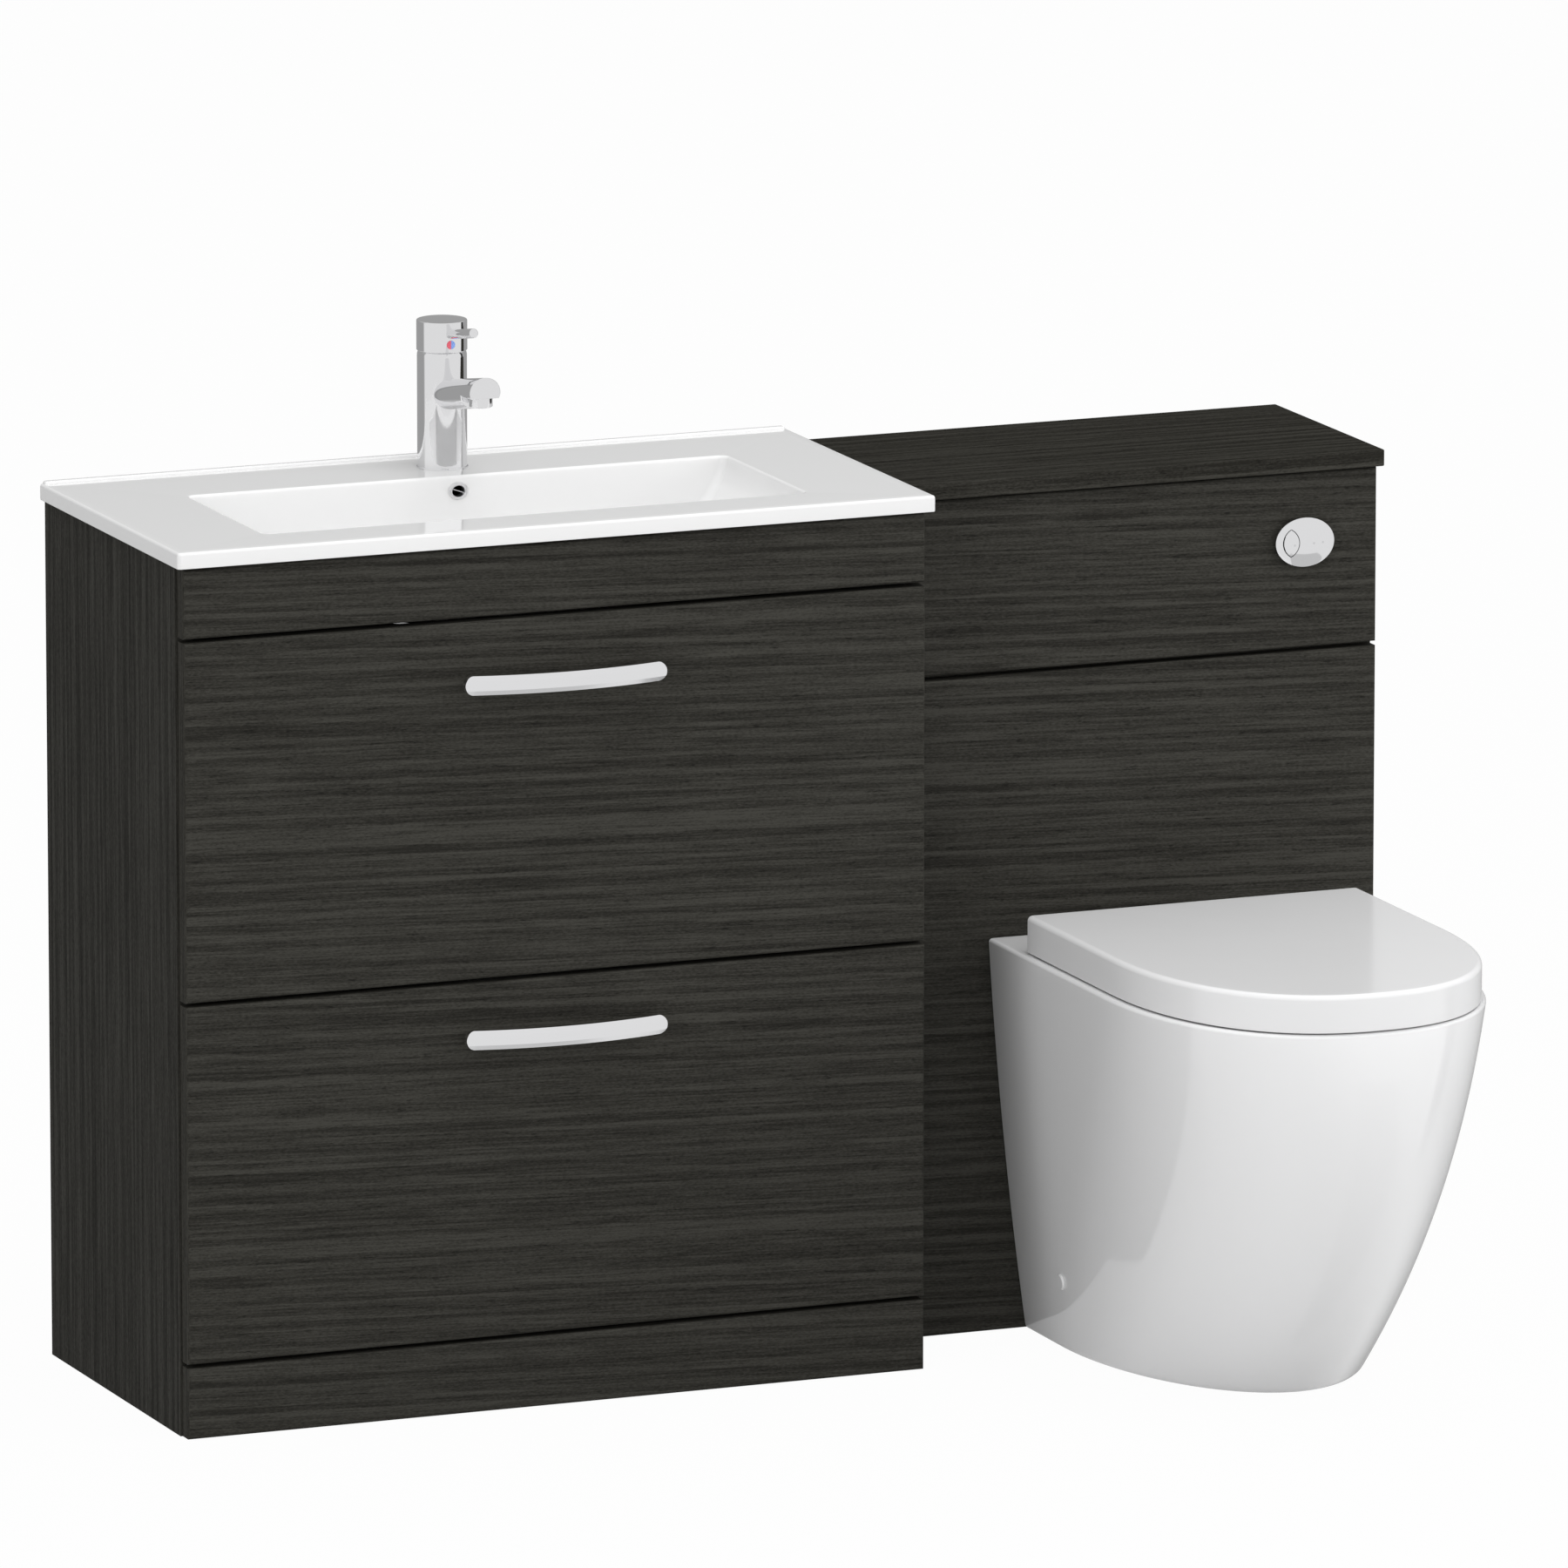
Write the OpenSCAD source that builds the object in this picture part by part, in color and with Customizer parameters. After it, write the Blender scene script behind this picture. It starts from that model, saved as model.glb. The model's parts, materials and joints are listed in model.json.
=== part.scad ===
// Toilet and basin combination unit: a two-drawer vanity with an inset basin
// and mixer tap, joined to a slim unit that hides the cistern of a
// back-to-wall toilet. It stands on the floor, with its back on the wall.
// Distances called d are measured forward from the wall.

/* [Vanity unit] */
// Width of the vanity carcass
vanity_w = 800; // [700:1:1000]
// Depth of the vanity carcass without its fronts
vanity_d = 377.5; // [360:0.5:460]
// Height of the vanity gables
vanity_h = 887; // [880:1:930]
// Thickness of the boards
board = 18; // [15:0.5:22]
// Height of the plinth
plinth_h = 72.6; // [60:0.1:90]
// Height of each drawer front
drawer_front_h = 364.8; // [300:0.1:370]
// Gap between two fronts
front_gap = 4.1; // [2:0.1:6]
// Strip of gable edge left bare beside each front
front_reveal = 2.3; // [1:0.1:4]
// Rounding of the front edges of the panels
front_round = 3; // [1:0.5:6]
// Space that the buffers keep behind a closed drawer front
front_stand = 0.5; // [0.3:0.1:0.9]

/* [Drawers] */
// Travel of the drawers
drawer_travel = 300; // [200:10:320]
// Thickness of a drawer side
side_t = 13; // [10:1:16]
// Height of the upper drawer's sides
upper_side_h = 120; // [80:1:140]
// Height of the lower drawer's sides
lower_side_h = 190; // [80:1:220]
// Thickness of the drawer backs and bases
drawer_board = 16; // [10:1:18]
// Width of the notch that lets the upper drawer pass the waste trap
notch_w = 150; // [120:2:220]
// Length of a drawer runner
runner_len = 350; // [330:1:350]
// Height of a drawer runner
runner_h = 45; // [35:1:50]
// Width of the space beside a drawer for its runner
runner_space = 13; // [12:0.5:16]
// Thickness of the runner steel
steel = 1.5; // [1:0.1:2]

/* [Handles] */
// Length of a handle
handle_len = 216; // [180:1:300]
// Height of a handle
handle_h = 20; // [12:1:30]
// Thickness of a handle
handle_t = 8; // [5:0.5:12]
// How far the middle of a handle bows out past its ends
handle_bow = 15; // [5:1:30]
// How far a handle stands out of the drawer front
handle_out = 39; // [30:1:60]
// Distance between the two fixing holes of a handle
handle_holes = 160; // [96:32:192]
// Distance from the top of the upper drawer front to its handle
upper_handle_drop = 60.4; // [40:0.1:120]
// Distance from the top of the lower drawer front to its handle
lower_handle_drop = 53; // [40:0.1:120]

/* [Basin] */
// How far the basin stands over each gable
basin_over = 6; // [2:1:10]
// Depth of the basin from the wall
basin_d = 404; // [400:1:470]
// Thickness of the basin's edge
basin_edge = 17; // [14:0.5:25]
// Width of the bowl at the top
bowl_w = 582; // [480:1:640]
// Distance from the wall to the back of the bowl
bowl_back = 121; // [115:1:140]
// Distance from the wall to the front of the bowl
bowl_front = 340; // [320:1:345]
// Depth of the bowl
bowl_depth = 110; // [90:1:125]
// Thickness of the bowl's wall
basin_wall = 11; // [9:1:13]
// Height of the lip along the back of the basin
lip_h = 3; // [1:0.5:6]
// Distance from the wall to the middle of the tap hole
tap_d = 70; // [60:1:78]
// Distance of the tap to the right of the bowl's middle
tap_aside = 2.9; // [0:0.1:4]
// Radius of the tap hole
tap_hole_r = 17.5; // [16:0.5:18]
// Distance from the basin's top down to the middle of the overflow
overflow_drop = 15.9; // [13:0.1:30]
// Distance from the wall to the middle of the waste
waste_d = 215; // [200:1:230]

/* [Tap] */
// Radius of the tap body
tap_r = 25.35; // [24:0.05:25.4]
// Height of the tap body
tap_h = 120.3; // [110:0.1:160]
// Radius of the tap's cap
cap_r = 25.85; // [25.6:0.05:29]
// Height of the tap's cap
cap_h = 31; // [28:1:40]
// Radius of the spout
spout_r = 16.5; // [14:0.1:18]
// Distance from the middle of the tap to the end of the spout
spout_reach = 121; // [100:1:160]
// Slope of the spout above level, in degrees
spout_slope = 10.3; // [5:0.1:15]
// Length of the lever pin from the middle of the cap
lever_reach = 91.5; // [60:0.5:110]
// Slope of the lever pin above level, in degrees
lever_slope = 10.2; // [0:0.1:15]

/* [Cistern unit] */
// Width of the cistern unit's carcass
wc_w = 554; // [500:1:640]
// Depth of the cistern unit's carcass without its panels
wc_d = 248.5; // [225:0.5:280]
// Height of the cistern unit's gables
wc_h = 872; // [850:1:880]
// Thickness of the cistern unit's top
wc_top_t = 17.6; // [15:0.1:25]
// How far the top stands over the right gable
wc_top_side = 3; // [0:0.5:10]
// How far the top stands over the front panels
wc_top_front = 7.5; // [2:0.5:8]
// Height of the lower front panel
lower_panel_h = 684; // [660:1:700]
// Gap between the two front panels
panel_gap = 4.5; // [2:0.5:6]
// Distance from the cistern unit's left side to the flush button
button_x = 470.5; // [440:0.5:480]
// Height of the flush button above the floor
button_z = 798; // [770:1:810]
// Width of the flush button
button_w = 65; // [60:1:80]
// Height of the flush button
button_h = 51; // [48:1:60]
// Travel of the flush buttons
button_travel = 3.5; // [2:0.5:4]
// Width of the cistern tank
tank_w = 400; // [360:5:420]
// Depth of the cistern tank
tank_d = 130; // [115:5:140]
// Height of the cistern tank
tank_h = 320; // [280:5:330]
// Wall of the cistern tank
tank_wall = 4; // [3:0.5:6]

/* [Toilet pan] */
// Distance from the cistern unit's left side to the middle of the pan
pan_x = 312.5; // [300:0.5:330]
// Height of the pan
pan_h = 412; // [390:1:430]
// Width of the pan at the top
pan_top_w = 381.8; // [360:0.1:400]
// Width of the pan at the floor
pan_base_w = 297; // [270:1:330]
// How far the top of the pan reaches past the front panels
pan_reach = 556; // [500:1:600]
// How far the foot of the pan reaches past the front panels
pan_base_reach = 363; // [330:1:420]
// Thickness of the pan's walls
pan_wall = 14; // [10:1:18]
// Height of the middle of the soil outlet above the floor
outlet_z = 190; // [180:1:195]
// Height of the middle of the flush inlet above the floor
inlet_z = 342; // [335:1:345]

/* [Seat and lid] */
// Width of the lid
lid_w = 368.8; // [350:0.1:380]
// Distance from the front panels to the back of the lid
lid_back = 82.5; // [80:0.5:90]
// How far the lid reaches past the front panels
lid_reach = 557; // [500:1:600]
// Height of the lid's side
lid_h = 38.5; // [35:0.5:45]
// Thickness of the lid's shell
lid_shell = 5; // [4:0.5:6]
// Thickness of the seat
seat_t = 22; // [18:1:24]
// Distance between the two seat hinges
hinge_pitch = 155; // [140:1:165]

/* [Hidden] */
$fn = 64;

// A cut runs this far past the face that it opens
cut = 1;
// Clearance between pieces that slide past each other
slip = 0.3;
// Radial clearance of a pin that turns in its hole
turn_fit = 0.05;

// Overall size, and where the parts of the unit stand
total_w = basin_over + vanity_w + wc_w + wc_top_side;
wc_face = wc_d + board;
total_d = wc_face + lid_reach;
wall_y = total_d / 2;
vanity_x = basin_over - total_w / 2;
vanity_mid = vanity_x + vanity_w / 2;
wc_x = vanity_x + vanity_w;
pan_mid = wc_x + pan_x;
basin_z = vanity_h + basin_edge;

// Vanity fronts, from the floor up
front_x = vanity_x + front_reveal;
front_w = vanity_w - 2 * front_reveal;
lower_front_z = plinth_h + front_gap;
upper_front_z = lower_front_z + drawer_front_h + front_gap;
fascia_z = upper_front_z + drawer_front_h + front_gap;
fascia_h = vanity_h - 2 - fascia_z;
drawer_face = vanity_d + front_stand + board;

// Drawer boxes
inner_x = vanity_x + board;
inner_w = vanity_w - 2 * board;
side_lift = 40;
side_back = 25;
box_w = inner_w - 2 * runner_space - 2 * side_t;
box_x = inner_x + runner_space + side_t;
base_lift = 8;
notch_front = waste_d + 75;
rail_back = 22;
link_len = runner_len - 50;
link_back = 40;
bracket_z = 752;

// Basin bowl
sump_r = 40;
bowl_corner = 8;
bowl_steps = 9;
waste_z = basin_z - bowl_depth;
waste_hole_r = 22.5;
waste_tube_r = 20.5;
overflow_r = 8;
channel_w = 26;

// Tap
lever_pivot_drop = 13;
lever_drop = 16;
lever_r = 4.9;
mark_r = 4.6;
mark_drop = 8.5;
dome_r = tap_r + 1.65;
cap_wall = 2.95;
cap_z = basin_z + tap_h + 0.7;
pivot_z = cap_z - lever_pivot_drop;
cartridge_r = 17.5;
rotor_r = 9;
stem_w = 6;
pivot_pin_r = 2;
spout_z = basin_z + 74.7;
spout_tip_z = spout_z + spout_reach * tan(spout_slope);
spout_flat_z = spout_tip_z - 6.5;
spout_cut = 27.5;
aerator_r = 11.1;
aerator_h = 8.7;
aerator_back = 12.4;
tap_x = vanity_mid + tap_aside;
stud_r = 4;
tail_r = 5;

// Cistern unit
shelf_z = 452;
shelf_top = shelf_z + board;
tank_mid_d = 105;
tank_r = 20;
valve_base_r = 45;
valve_tail_r = 27;
core_r = 14;
fill_dx = 150;
float_travel = 90;
core_travel = 20;
flush_pipe_r = 20;
pipe_wall = 2;
bend_r = 60;
soil_r = 51;
lens_w = 18.3;
lens_h = 28.6;
lens_dx = -14.6;
groove = 0.6;
collar_r = 22;
flange_t = 1;
dome_t = 6.5;
button_back = button_travel + slip;

// Pan, seat and lid
pan_straight = 294;
pan_base_straight = 94;
pan_square = 2.28;
rim_slab = 30;
bowl_open_w = 262;
bowl_open_back = 405;
bowl_open_front = 765;
bowl_sump_z = 150;
hinge_d = wc_face + lid_back - 18;
hinge_z = pan_h + 12;
hinge_pin_r = 4;
hinge_post_r = 10;
ear_r = 7;
ear_t = 13;
lid_gap = 1.5;
lid_z = pan_h + lid_gap;
lid_straight = 294.5;
seat_z = pan_h + 5;
seat_inset = lid_shell + 2;
cap_d = 385;
side_cap_z = 75;
outline_steps = 30;

// y of a place at distance d from the wall
function at(d) = wall_y - d;
function mix(a, b, t) = a + (b - a) * t;
// Share of the way from foot to rim, bulging by b at mid height
function bulge(t, b) = t * (1 + b * (1 - t));
// Half width of the pan at height z
function pan_half(z) = mix(pan_base_w, pan_top_w, bulge(z / pan_h, 0.4)) / 2;

// Block between two values of x, of d and of z
module block(x0, x1, d0, d1, z0, z1) {
    translate([x0, at(d1), z0]) cube([x1 - x0, d1 - d0, z1 - z0]);
}

// Round bar forward from distance d0 to d1
module bar(x, z, r, d0, d1) {
    translate([x, at(d0), z]) rotate([90, 0, 0]) cylinder(r = r, h = d1 - d0);
}

// Upright round bar
module post(x, d, r, z0, z1) {
    translate([x, at(d), z0]) cylinder(r = r, h = z1 - z0);
}

// Rectangle about its middle with round corners
module round_rect(w, d, r) {
    square([w - 2 * r, d], center = true);
    square([w, d - 2 * r], center = true);
    for (sx = [-1, 1], sy = [-1, 1])
        translate([sx * (w / 2 - r), sy * (d / 2 - r)]) circle(r);
}

// Section of a board along its length, with two rounded front corners
module edge_section(length, t, r) {
    translate([0, r - t]) square([length, t - r]);
    translate([r, -t]) square([length - 2 * r, t]);
    for (x = [r, length - r]) translate([x, r - t]) circle(r);
}

// Front panel with rounded edges, its back face at distance d
module front_panel(x, w, d, z, h, r = front_round) {
    translate([x, at(d), z]) intersection() {
        linear_extrude(h) edge_section(w, board, r);
        rotate([90, 0, 90]) linear_extrude(w) mirror([1, -1]) edge_section(h, board, r);
    }
}

// Solid through a list of level rings, from the bottom up, all with as many points
module loft(rings) {
    n = len(rings[0]);
    m = len(rings);
    polyhedron(
        points = [for (ring = rings) each ring],
        faces = concat(
            [[for (j = [0 : n - 1]) j]],
            [for (i = [0 : m - 2], j = [0 : n - 1]) let (k = (j + 1) % n)
                [i * n + j, (i + 1) * n + j, (i + 1) * n + k, i * n + k]],
            [[for (j = [n - 1 : -1 : 0]) (m - 1) * n + j]]));
}

// Level ring of a D outline: straight back and sides and a rounded front
function d_ring(z, mid, half, back, straight, front, square_n, r) = concat(
    [for (k = [outline_steps : -1 : 0]) let (a = 180 * k / outline_steps)
        [mid + half * sign(cos(a)) * pow(abs(cos(a)), 2 / square_n),
         at(straight + (front - straight) * pow(sin(a), 2 / square_n)), z]],
    [for (a = [0, 45, 90]) [mid + half - r + r * cos(a), at(back + r - r * sin(a)), z]],
    [for (a = [90, 45, 0]) [mid - half + r - r * cos(a), at(back + r - r * sin(a)), z]]);

// Level ring of a rectangle with round corners
function rect_ring(z, mid, half, back, front, r) = [
    for (c = [[-1, 1, 180], [1, 1, 270], [1, -1, 0], [-1, -1, 90]], k = [0 : 6])
        let (a = c[2] + 15 * k)
        [mid + c[0] * (half - r) + r * cos(a),
         at(c[1] > 0 ? front - r : back + r) + r * sin(a), z]];

// Level ring of an oval
function oval_ring(d, x, z, w, h) = [
    for (k = [0 : 47]) [x + w / 2 * cos(7.5 * k), at(d), z + h / 2 * sin(7.5 * k)]];

// ---- Vanity carcass ----

module vanity_gable(x) {
    color("DarkSlateGray") block(x, x + board, 0, vanity_d, 0, vanity_h);
}

module vanity_floor() {
    color("DarkSlateGray")
        block(inner_x, inner_x + inner_w, 0, vanity_d, plinth_h, plinth_h + board);
}

// Rails under the basin, and the back board with its cut-out for the pipes
module vanity_rails() {
    rail_h = 100;
    pipe_w = 220;
    color("DarkSlateGray") {
        block(inner_x, inner_x + inner_w, 0, board, vanity_h - rail_h, vanity_h);
        block(inner_x, inner_x + inner_w, vanity_d - board, vanity_d, fascia_z, vanity_h);
        difference() {
            block(inner_x, inner_x + inner_w, 0, board, plinth_h + board, bracket_z - 2);
            block(vanity_mid - pipe_w / 2, vanity_mid + pipe_w / 2, -cut, board + cut, 600, 715);
        }
    }
}

module fascia_panel() {
    color("DarkSlateGray") front_panel(front_x, front_w, vanity_d, fascia_z, fascia_h);
}

module plinth() {
    color("DarkSlateGray") front_panel(front_x, front_w, vanity_d, 0, plinth_h);
}

// Channel section that opens to +x, from its web at x = 0
module channel(depth, h) {
    square([steel, h]);
    for (z = [0, h - steel]) translate([0, z]) square([depth, steel]);
}

// Channel along the drawer's travel, mirrored for the right side
module slide_channel(side, gap, depth, h, z, back, length) {
    translate([vanity_mid, 0, 0]) scale_side(side)
        translate([gap - inner_w / 2, at(back), z])
            rotate([90, 0, 0]) linear_extrude(length) channel(depth, h);
}

module scale_side(side) {
    if (side > 0) mirror([1, 0, 0]) children();
    else children();
}

// Bottom of a drawer's runner, for a drawer front that starts at z
function runner_z(front_z) = front_z + side_lift + 6;

module runner_rails() {
    color("Silver") for (front_z = [lower_front_z, upper_front_z], side = [-1, 1])
        slide_channel(side, 0, runner_space - 3, runner_h, runner_z(front_z), rail_back, runner_len);
}

module wall_bracket(x, side, z) {
    leg = 40;
    plate = 2;
    width = 30;
    difference() {
        union() {
            block(min(x, x + side * leg), max(x, x + side * leg), 0, plate, z, z + width);
            block(min(x, x + side * plate), max(x, x + side * plate), 0, leg, z, z + width);
        }
        bar(x + side * leg / 2, z + width / 2, 3.5, -cut, plate + cut);
        translate([x - side * cut, at(leg / 2 + plate), z + width / 2])
            rotate([0, side * 90, 0]) cylinder(r = 2.5, h = plate + 2 * cut);
    }
}

module wall_brackets() {
    color("Silver") {
        wall_bracket(inner_x, 1, bracket_z);
        wall_bracket(inner_x + inner_w, -1, bracket_z);
        wall_bracket(wc_x + board, 1, bracket_z);
        wall_bracket(wc_x + wc_w - board, -1, bracket_z);
    }
}

// ---- Drawers ----

module drawer_front(z, handle_z) {
    color("DarkSlateGray") difference() {
        front_panel(front_x, front_w, vanity_d + front_stand, z, drawer_front_h);
        for (side = [-1, 1])
            bar(vanity_mid + side * handle_holes / 2, handle_z, 2.5, vanity_d, drawer_face + cut);
    }
}

// Drawer side with a round top edge, and the runner member fixed to it
module drawer_side(side, z, h) {
    front = vanity_d + front_stand;
    member_h = runner_h - 4 * steel - 4 * slip;
    translate([vanity_mid, 0, 0]) scale_side(side) {
        translate([runner_space - inner_w / 2, at(side_back), z]) rotate([90, 0, 0])
            linear_extrude(front - side_back) {
                square([side_t, h - side_t / 2]);
                translate([side_t / 2, h - side_t / 2]) circle(side_t / 2);
            }
        translate([runner_space - inner_w / 2, at(side_back), runner_z(z - side_lift) + 2 * steel + 2 * slip])
            rotate([90, 0, 0]) linear_extrude(runner_len)
                mirror([1, 0]) channel(runner_space - 2 * steel - 3 * slip, member_h);
    }
}

module drawer_sides(front_z, h) {
    color("LightGray") for (side = [-1, 1]) drawer_side(side, front_z + side_lift, h);
}

module slide_links(front_z) {
    color("Silver") for (side = [-1, 1])
        slide_channel(side, steel + slip, runner_space - 2 * steel - 3 * slip,
            runner_h - 2 * steel - 2 * slip, runner_z(front_z) + steel + slip, link_back, link_len);
}

// Plan of the notch round the waste, open to the back
module notch_plan(w, front) {
    r = 30;
    translate([vanity_mid - w / 2, at(front - r)]) square([w, front - r + cut]);
    translate([vanity_mid - w / 2 + r, at(front)]) square([w - 2 * r, front + cut]);
    for (side = [-1, 1])
        translate([vanity_mid + side * (w / 2 - r), at(front - r)]) circle(r);
}

module drawer_base(front_z, notched) {
    base_z = front_z + side_lift + base_lift;
    color("Gainsboro") difference() {
        block(box_x, box_x + box_w, side_back, vanity_d + front_stand, base_z, base_z + drawer_board);
        if (notched) translate([0, 0, base_z - cut])
            linear_extrude(drawer_board + 2 * cut) notch_plan(notch_w, notch_front);
    }
}

module lower_drawer_back() {
    z = lower_front_z + side_lift + base_lift + drawer_board;
    top = lower_front_z + side_lift + lower_side_h - side_t / 2;
    color("Gainsboro") block(box_x, box_x + box_w, side_back, side_back + drawer_board, z, top);
}

module upper_drawer_back() {
    z = upper_front_z + side_lift + base_lift + drawer_board;
    top = upper_front_z + side_lift + upper_side_h - side_t / 2;
    color("Gainsboro") translate([0, 0, z]) linear_extrude(top - z) difference() {
        union() {
            translate([box_x, at(side_back + drawer_board)]) square([box_w, drawer_board]);
            intersection() {
                notch_plan(notch_w + 2 * drawer_board, notch_front + drawer_board);
                translate([box_x, at(vanity_d)]) square([box_w, vanity_d - side_back]);
            }
        }
        notch_plan(notch_w, notch_front);
    }
}

// Bowed bar with round ends, on two posts
module handle(z) {
    half = handle_len / 2;
    bow_r = (half * half + handle_bow * handle_bow) / (2 * handle_bow);
    front_d = drawer_face + handle_out;
    bevel_z = 4.5;
    bevel_r = 3;
    sweep_angle = 2 * asin(half / bow_r) + 2;
    color("Silver") difference() {
        union() {
            intersection() {
                translate([vanity_mid, at(front_d) + bow_r, z]) rotate([0, 0, -90 - sweep_angle / 2])
                    rotate_extrude(angle = sweep_angle, $fn = 180)
                        polygon([[bow_r - handle_t, -handle_h / 2], [bow_r - bevel_r, -handle_h / 2],
                            [bow_r, bevel_z - handle_h / 2], [bow_r, handle_h / 2 - bevel_z],
                            [bow_r - bevel_r, handle_h / 2], [bow_r - handle_t, handle_h / 2]]);
                union() {
                    block(vanity_mid - half + handle_h / 2, vanity_mid + half - handle_h / 2,
                        drawer_face, front_d + cut, z - handle_h / 2, z + handle_h / 2);
                    for (side = [-1, 1])
                        bar(vanity_mid + side * (half - handle_h / 2), z, handle_h / 2,
                            drawer_face, front_d + cut);
                }
            }
            for (side = [-1, 1])
                bar(vanity_mid + side * handle_holes / 2, z, 4, drawer_face,
                    front_d - handle_bow * pow(handle_holes / handle_len, 2) - handle_t / 2);
        }
        for (side = [-1, 1])
            bar(vanity_mid + side * handle_holes / 2, z, 2 + turn_fit, drawer_face - cut, drawer_face + 15);
    }
}

module handle_screws(z) {
    back = vanity_d + front_stand;
    color("DimGray") for (side = [-1, 1]) {
        bar(vanity_mid + side * handle_holes / 2, z, 2, back - 1, drawer_face + 14);
        bar(vanity_mid + side * handle_holes / 2, z, 4, back - 3, back);
    }
}

upper_handle_z = upper_front_z + drawer_front_h - upper_handle_drop;
lower_handle_z = lower_front_z + drawer_front_h - lower_handle_drop;

// ---- Basin ----

// Bowl as level rings on a quarter ellipse, grown outward for its outside
module bowl_form(grow) {
    loft([for (k = [bowl_steps : -1 : 0])
        let (a = 90 * k / bowl_steps, s = 1 - cos(a))
        rect_ring(basin_z - (bowl_depth + grow) * sin(a) + (k == 0 && grow == 0 ? cut : 0),
            vanity_mid,
            mix(bowl_w / 2, sump_r, s) + grow,
            mix(bowl_back, waste_d - sump_r, s) - grow,
            mix(bowl_front, waste_d + sump_r, s) + grow,
            mix(bowl_corner, sump_r, s) + grow)]);
}

module basin_slab() {
    w = vanity_w + 2 * basin_over;
    r = 3;
    translate([vanity_mid, at(basin_d / 2), vanity_h]) {
        linear_extrude(basin_edge - r) round_rect(w, basin_d, r);
        linear_extrude(basin_edge) round_rect(w - 2 * r, basin_d - 2 * r, 1);
        for (side = [-1, 1]) {
            translate([side * (w / 2 - r), 0, basin_edge - r]) rotate([90, 0, 0])
                cylinder(r = r, h = basin_d - 2 * r, center = true);
            translate([0, side * (basin_d / 2 - r), basin_edge - r]) rotate([0, 90, 0])
                cylinder(r = r, h = w - 2 * r, center = true);
            for (s = [-1, 1])
                translate([side * (w / 2 - r), s * (basin_d / 2 - r), basin_edge - r]) sphere(r);
        }
    }
}

// Raised lip that keeps water off the wall
module basin_lip() {
    w = vanity_w + 2 * basin_over - 4;
    translate([vanity_mid - w / 2, at(2 + lip_h), basin_z]) rotate([0, 90, 0])
        cylinder(r = lip_h, h = w);
    translate([vanity_mid - w / 2, at(2 + lip_h), basin_z - lip_h])
        cube([w, lip_h, 2 * lip_h]);
}

module basin() {
    color("White") difference() {
        union() {
            basin_slab();
            basin_lip();
            intersection() {
                bowl_form(basin_wall);
                block(vanity_x, vanity_x + vanity_w, 0, basin_d, 0, basin_z - 3);
            }
            block(vanity_mid - channel_w, vanity_mid + channel_w, bowl_back - 28, waste_d,
                waste_z - basin_wall, vanity_h);
        }
        bowl_form(0);
        post(tap_x, tap_d, tap_hole_r, vanity_h - cut, basin_z + cut);
        post(vanity_mid, waste_d, waste_hole_r, waste_z - basin_wall - cut, waste_z + cut);
        bar(vanity_mid, basin_z - overflow_drop, overflow_r, bowl_back - 18, bowl_back + 6);
        block(vanity_mid - channel_w / 2, vanity_mid + channel_w / 2, bowl_back - 20, bowl_back - 14,
            waste_z - 2, basin_z - overflow_drop + overflow_r);
        block(vanity_mid - channel_w / 2, vanity_mid + channel_w / 2, bowl_back - 20, waste_d,
            waste_z - 8, waste_z - 4);
    }
}

module overflow_ring() {
    z = basin_z - overflow_drop;
    low = (overflow_drop + overflow_r + 1) / bowl_depth;
    wall = mix(bowl_back, waste_d - sump_r, 1 - sqrt(1 - low * low));
    front = max(bowl_back + 3, wall + 1.5);
    color("Silver") translate([vanity_mid, at(front), z]) rotate([90, 0, 0]) rotate_extrude()
        union() {
            translate([overflow_r - 2, -12]) square([1.7, 12]);
            translate([overflow_r - 2, -1]) square([4, 2]);
            translate([overflow_r + 1, 0]) circle(1.6);
        }
}

// ---- Basin waste and trap ----

module waste_body() {
    top = waste_z + 2;
    bottom = waste_z - 60;
    color("Silver") difference() {
        union() {
            translate([vanity_mid, at(waste_d), waste_z])
                rotate_extrude() polygon([[0, -1], [waste_tube_r, -1], [waste_tube_r, 0], [32.5, 0],
                    [31.5, 1.4], [28, 2], [0, 2]]);
            post(vanity_mid, waste_d, waste_tube_r, bottom, top);
        }
        difference() {
            post(vanity_mid, waste_d, waste_tube_r - 3.5, bottom - cut, top + cut);
            block(vanity_mid - 18, vanity_mid + 18, waste_d - 2, waste_d + 2, bottom, bottom + 8);
            post(vanity_mid, waste_d, 7.5, bottom, bottom + 12);
        }
        post(vanity_mid, waste_d, 4 + slip, bottom - cut, top);
        block(vanity_mid - waste_tube_r - cut, vanity_mid + waste_tube_r + cut,
            waste_d - 7, waste_d + 7, waste_z - 10, waste_z - 3);
    }
}

module waste_backnut() {
    z = waste_z - basin_wall;
    color("DimGray") {
        difference() {
            translate([vanity_mid, at(waste_d), z - 14]) cylinder(r = 30, h = 9, $fn = 6);
            post(vanity_mid, waste_d, waste_tube_r + slip, z - 15, z);
        }
        difference() {
            post(vanity_mid, waste_d, 31, z - 5, z);
            post(vanity_mid, waste_d, waste_tube_r + slip, z - 6, z + cut);
        }
    }
}

module waste_plug() {
    z = waste_z + 2;
    color("Silver") union() {
        translate([vanity_mid, at(waste_d), z]) rotate_extrude() polygon([[0, 0], [30, 0],
            [31, 0.8], [31, 2.2], [29, 3.6], [22, 5], [12, 5.8], [0, 6]]);
        post(vanity_mid, waste_d, 4, waste_z - 56, z + 1);
        post(vanity_mid, waste_d, 12, z - 6, z + 1);
    }
}

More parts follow.
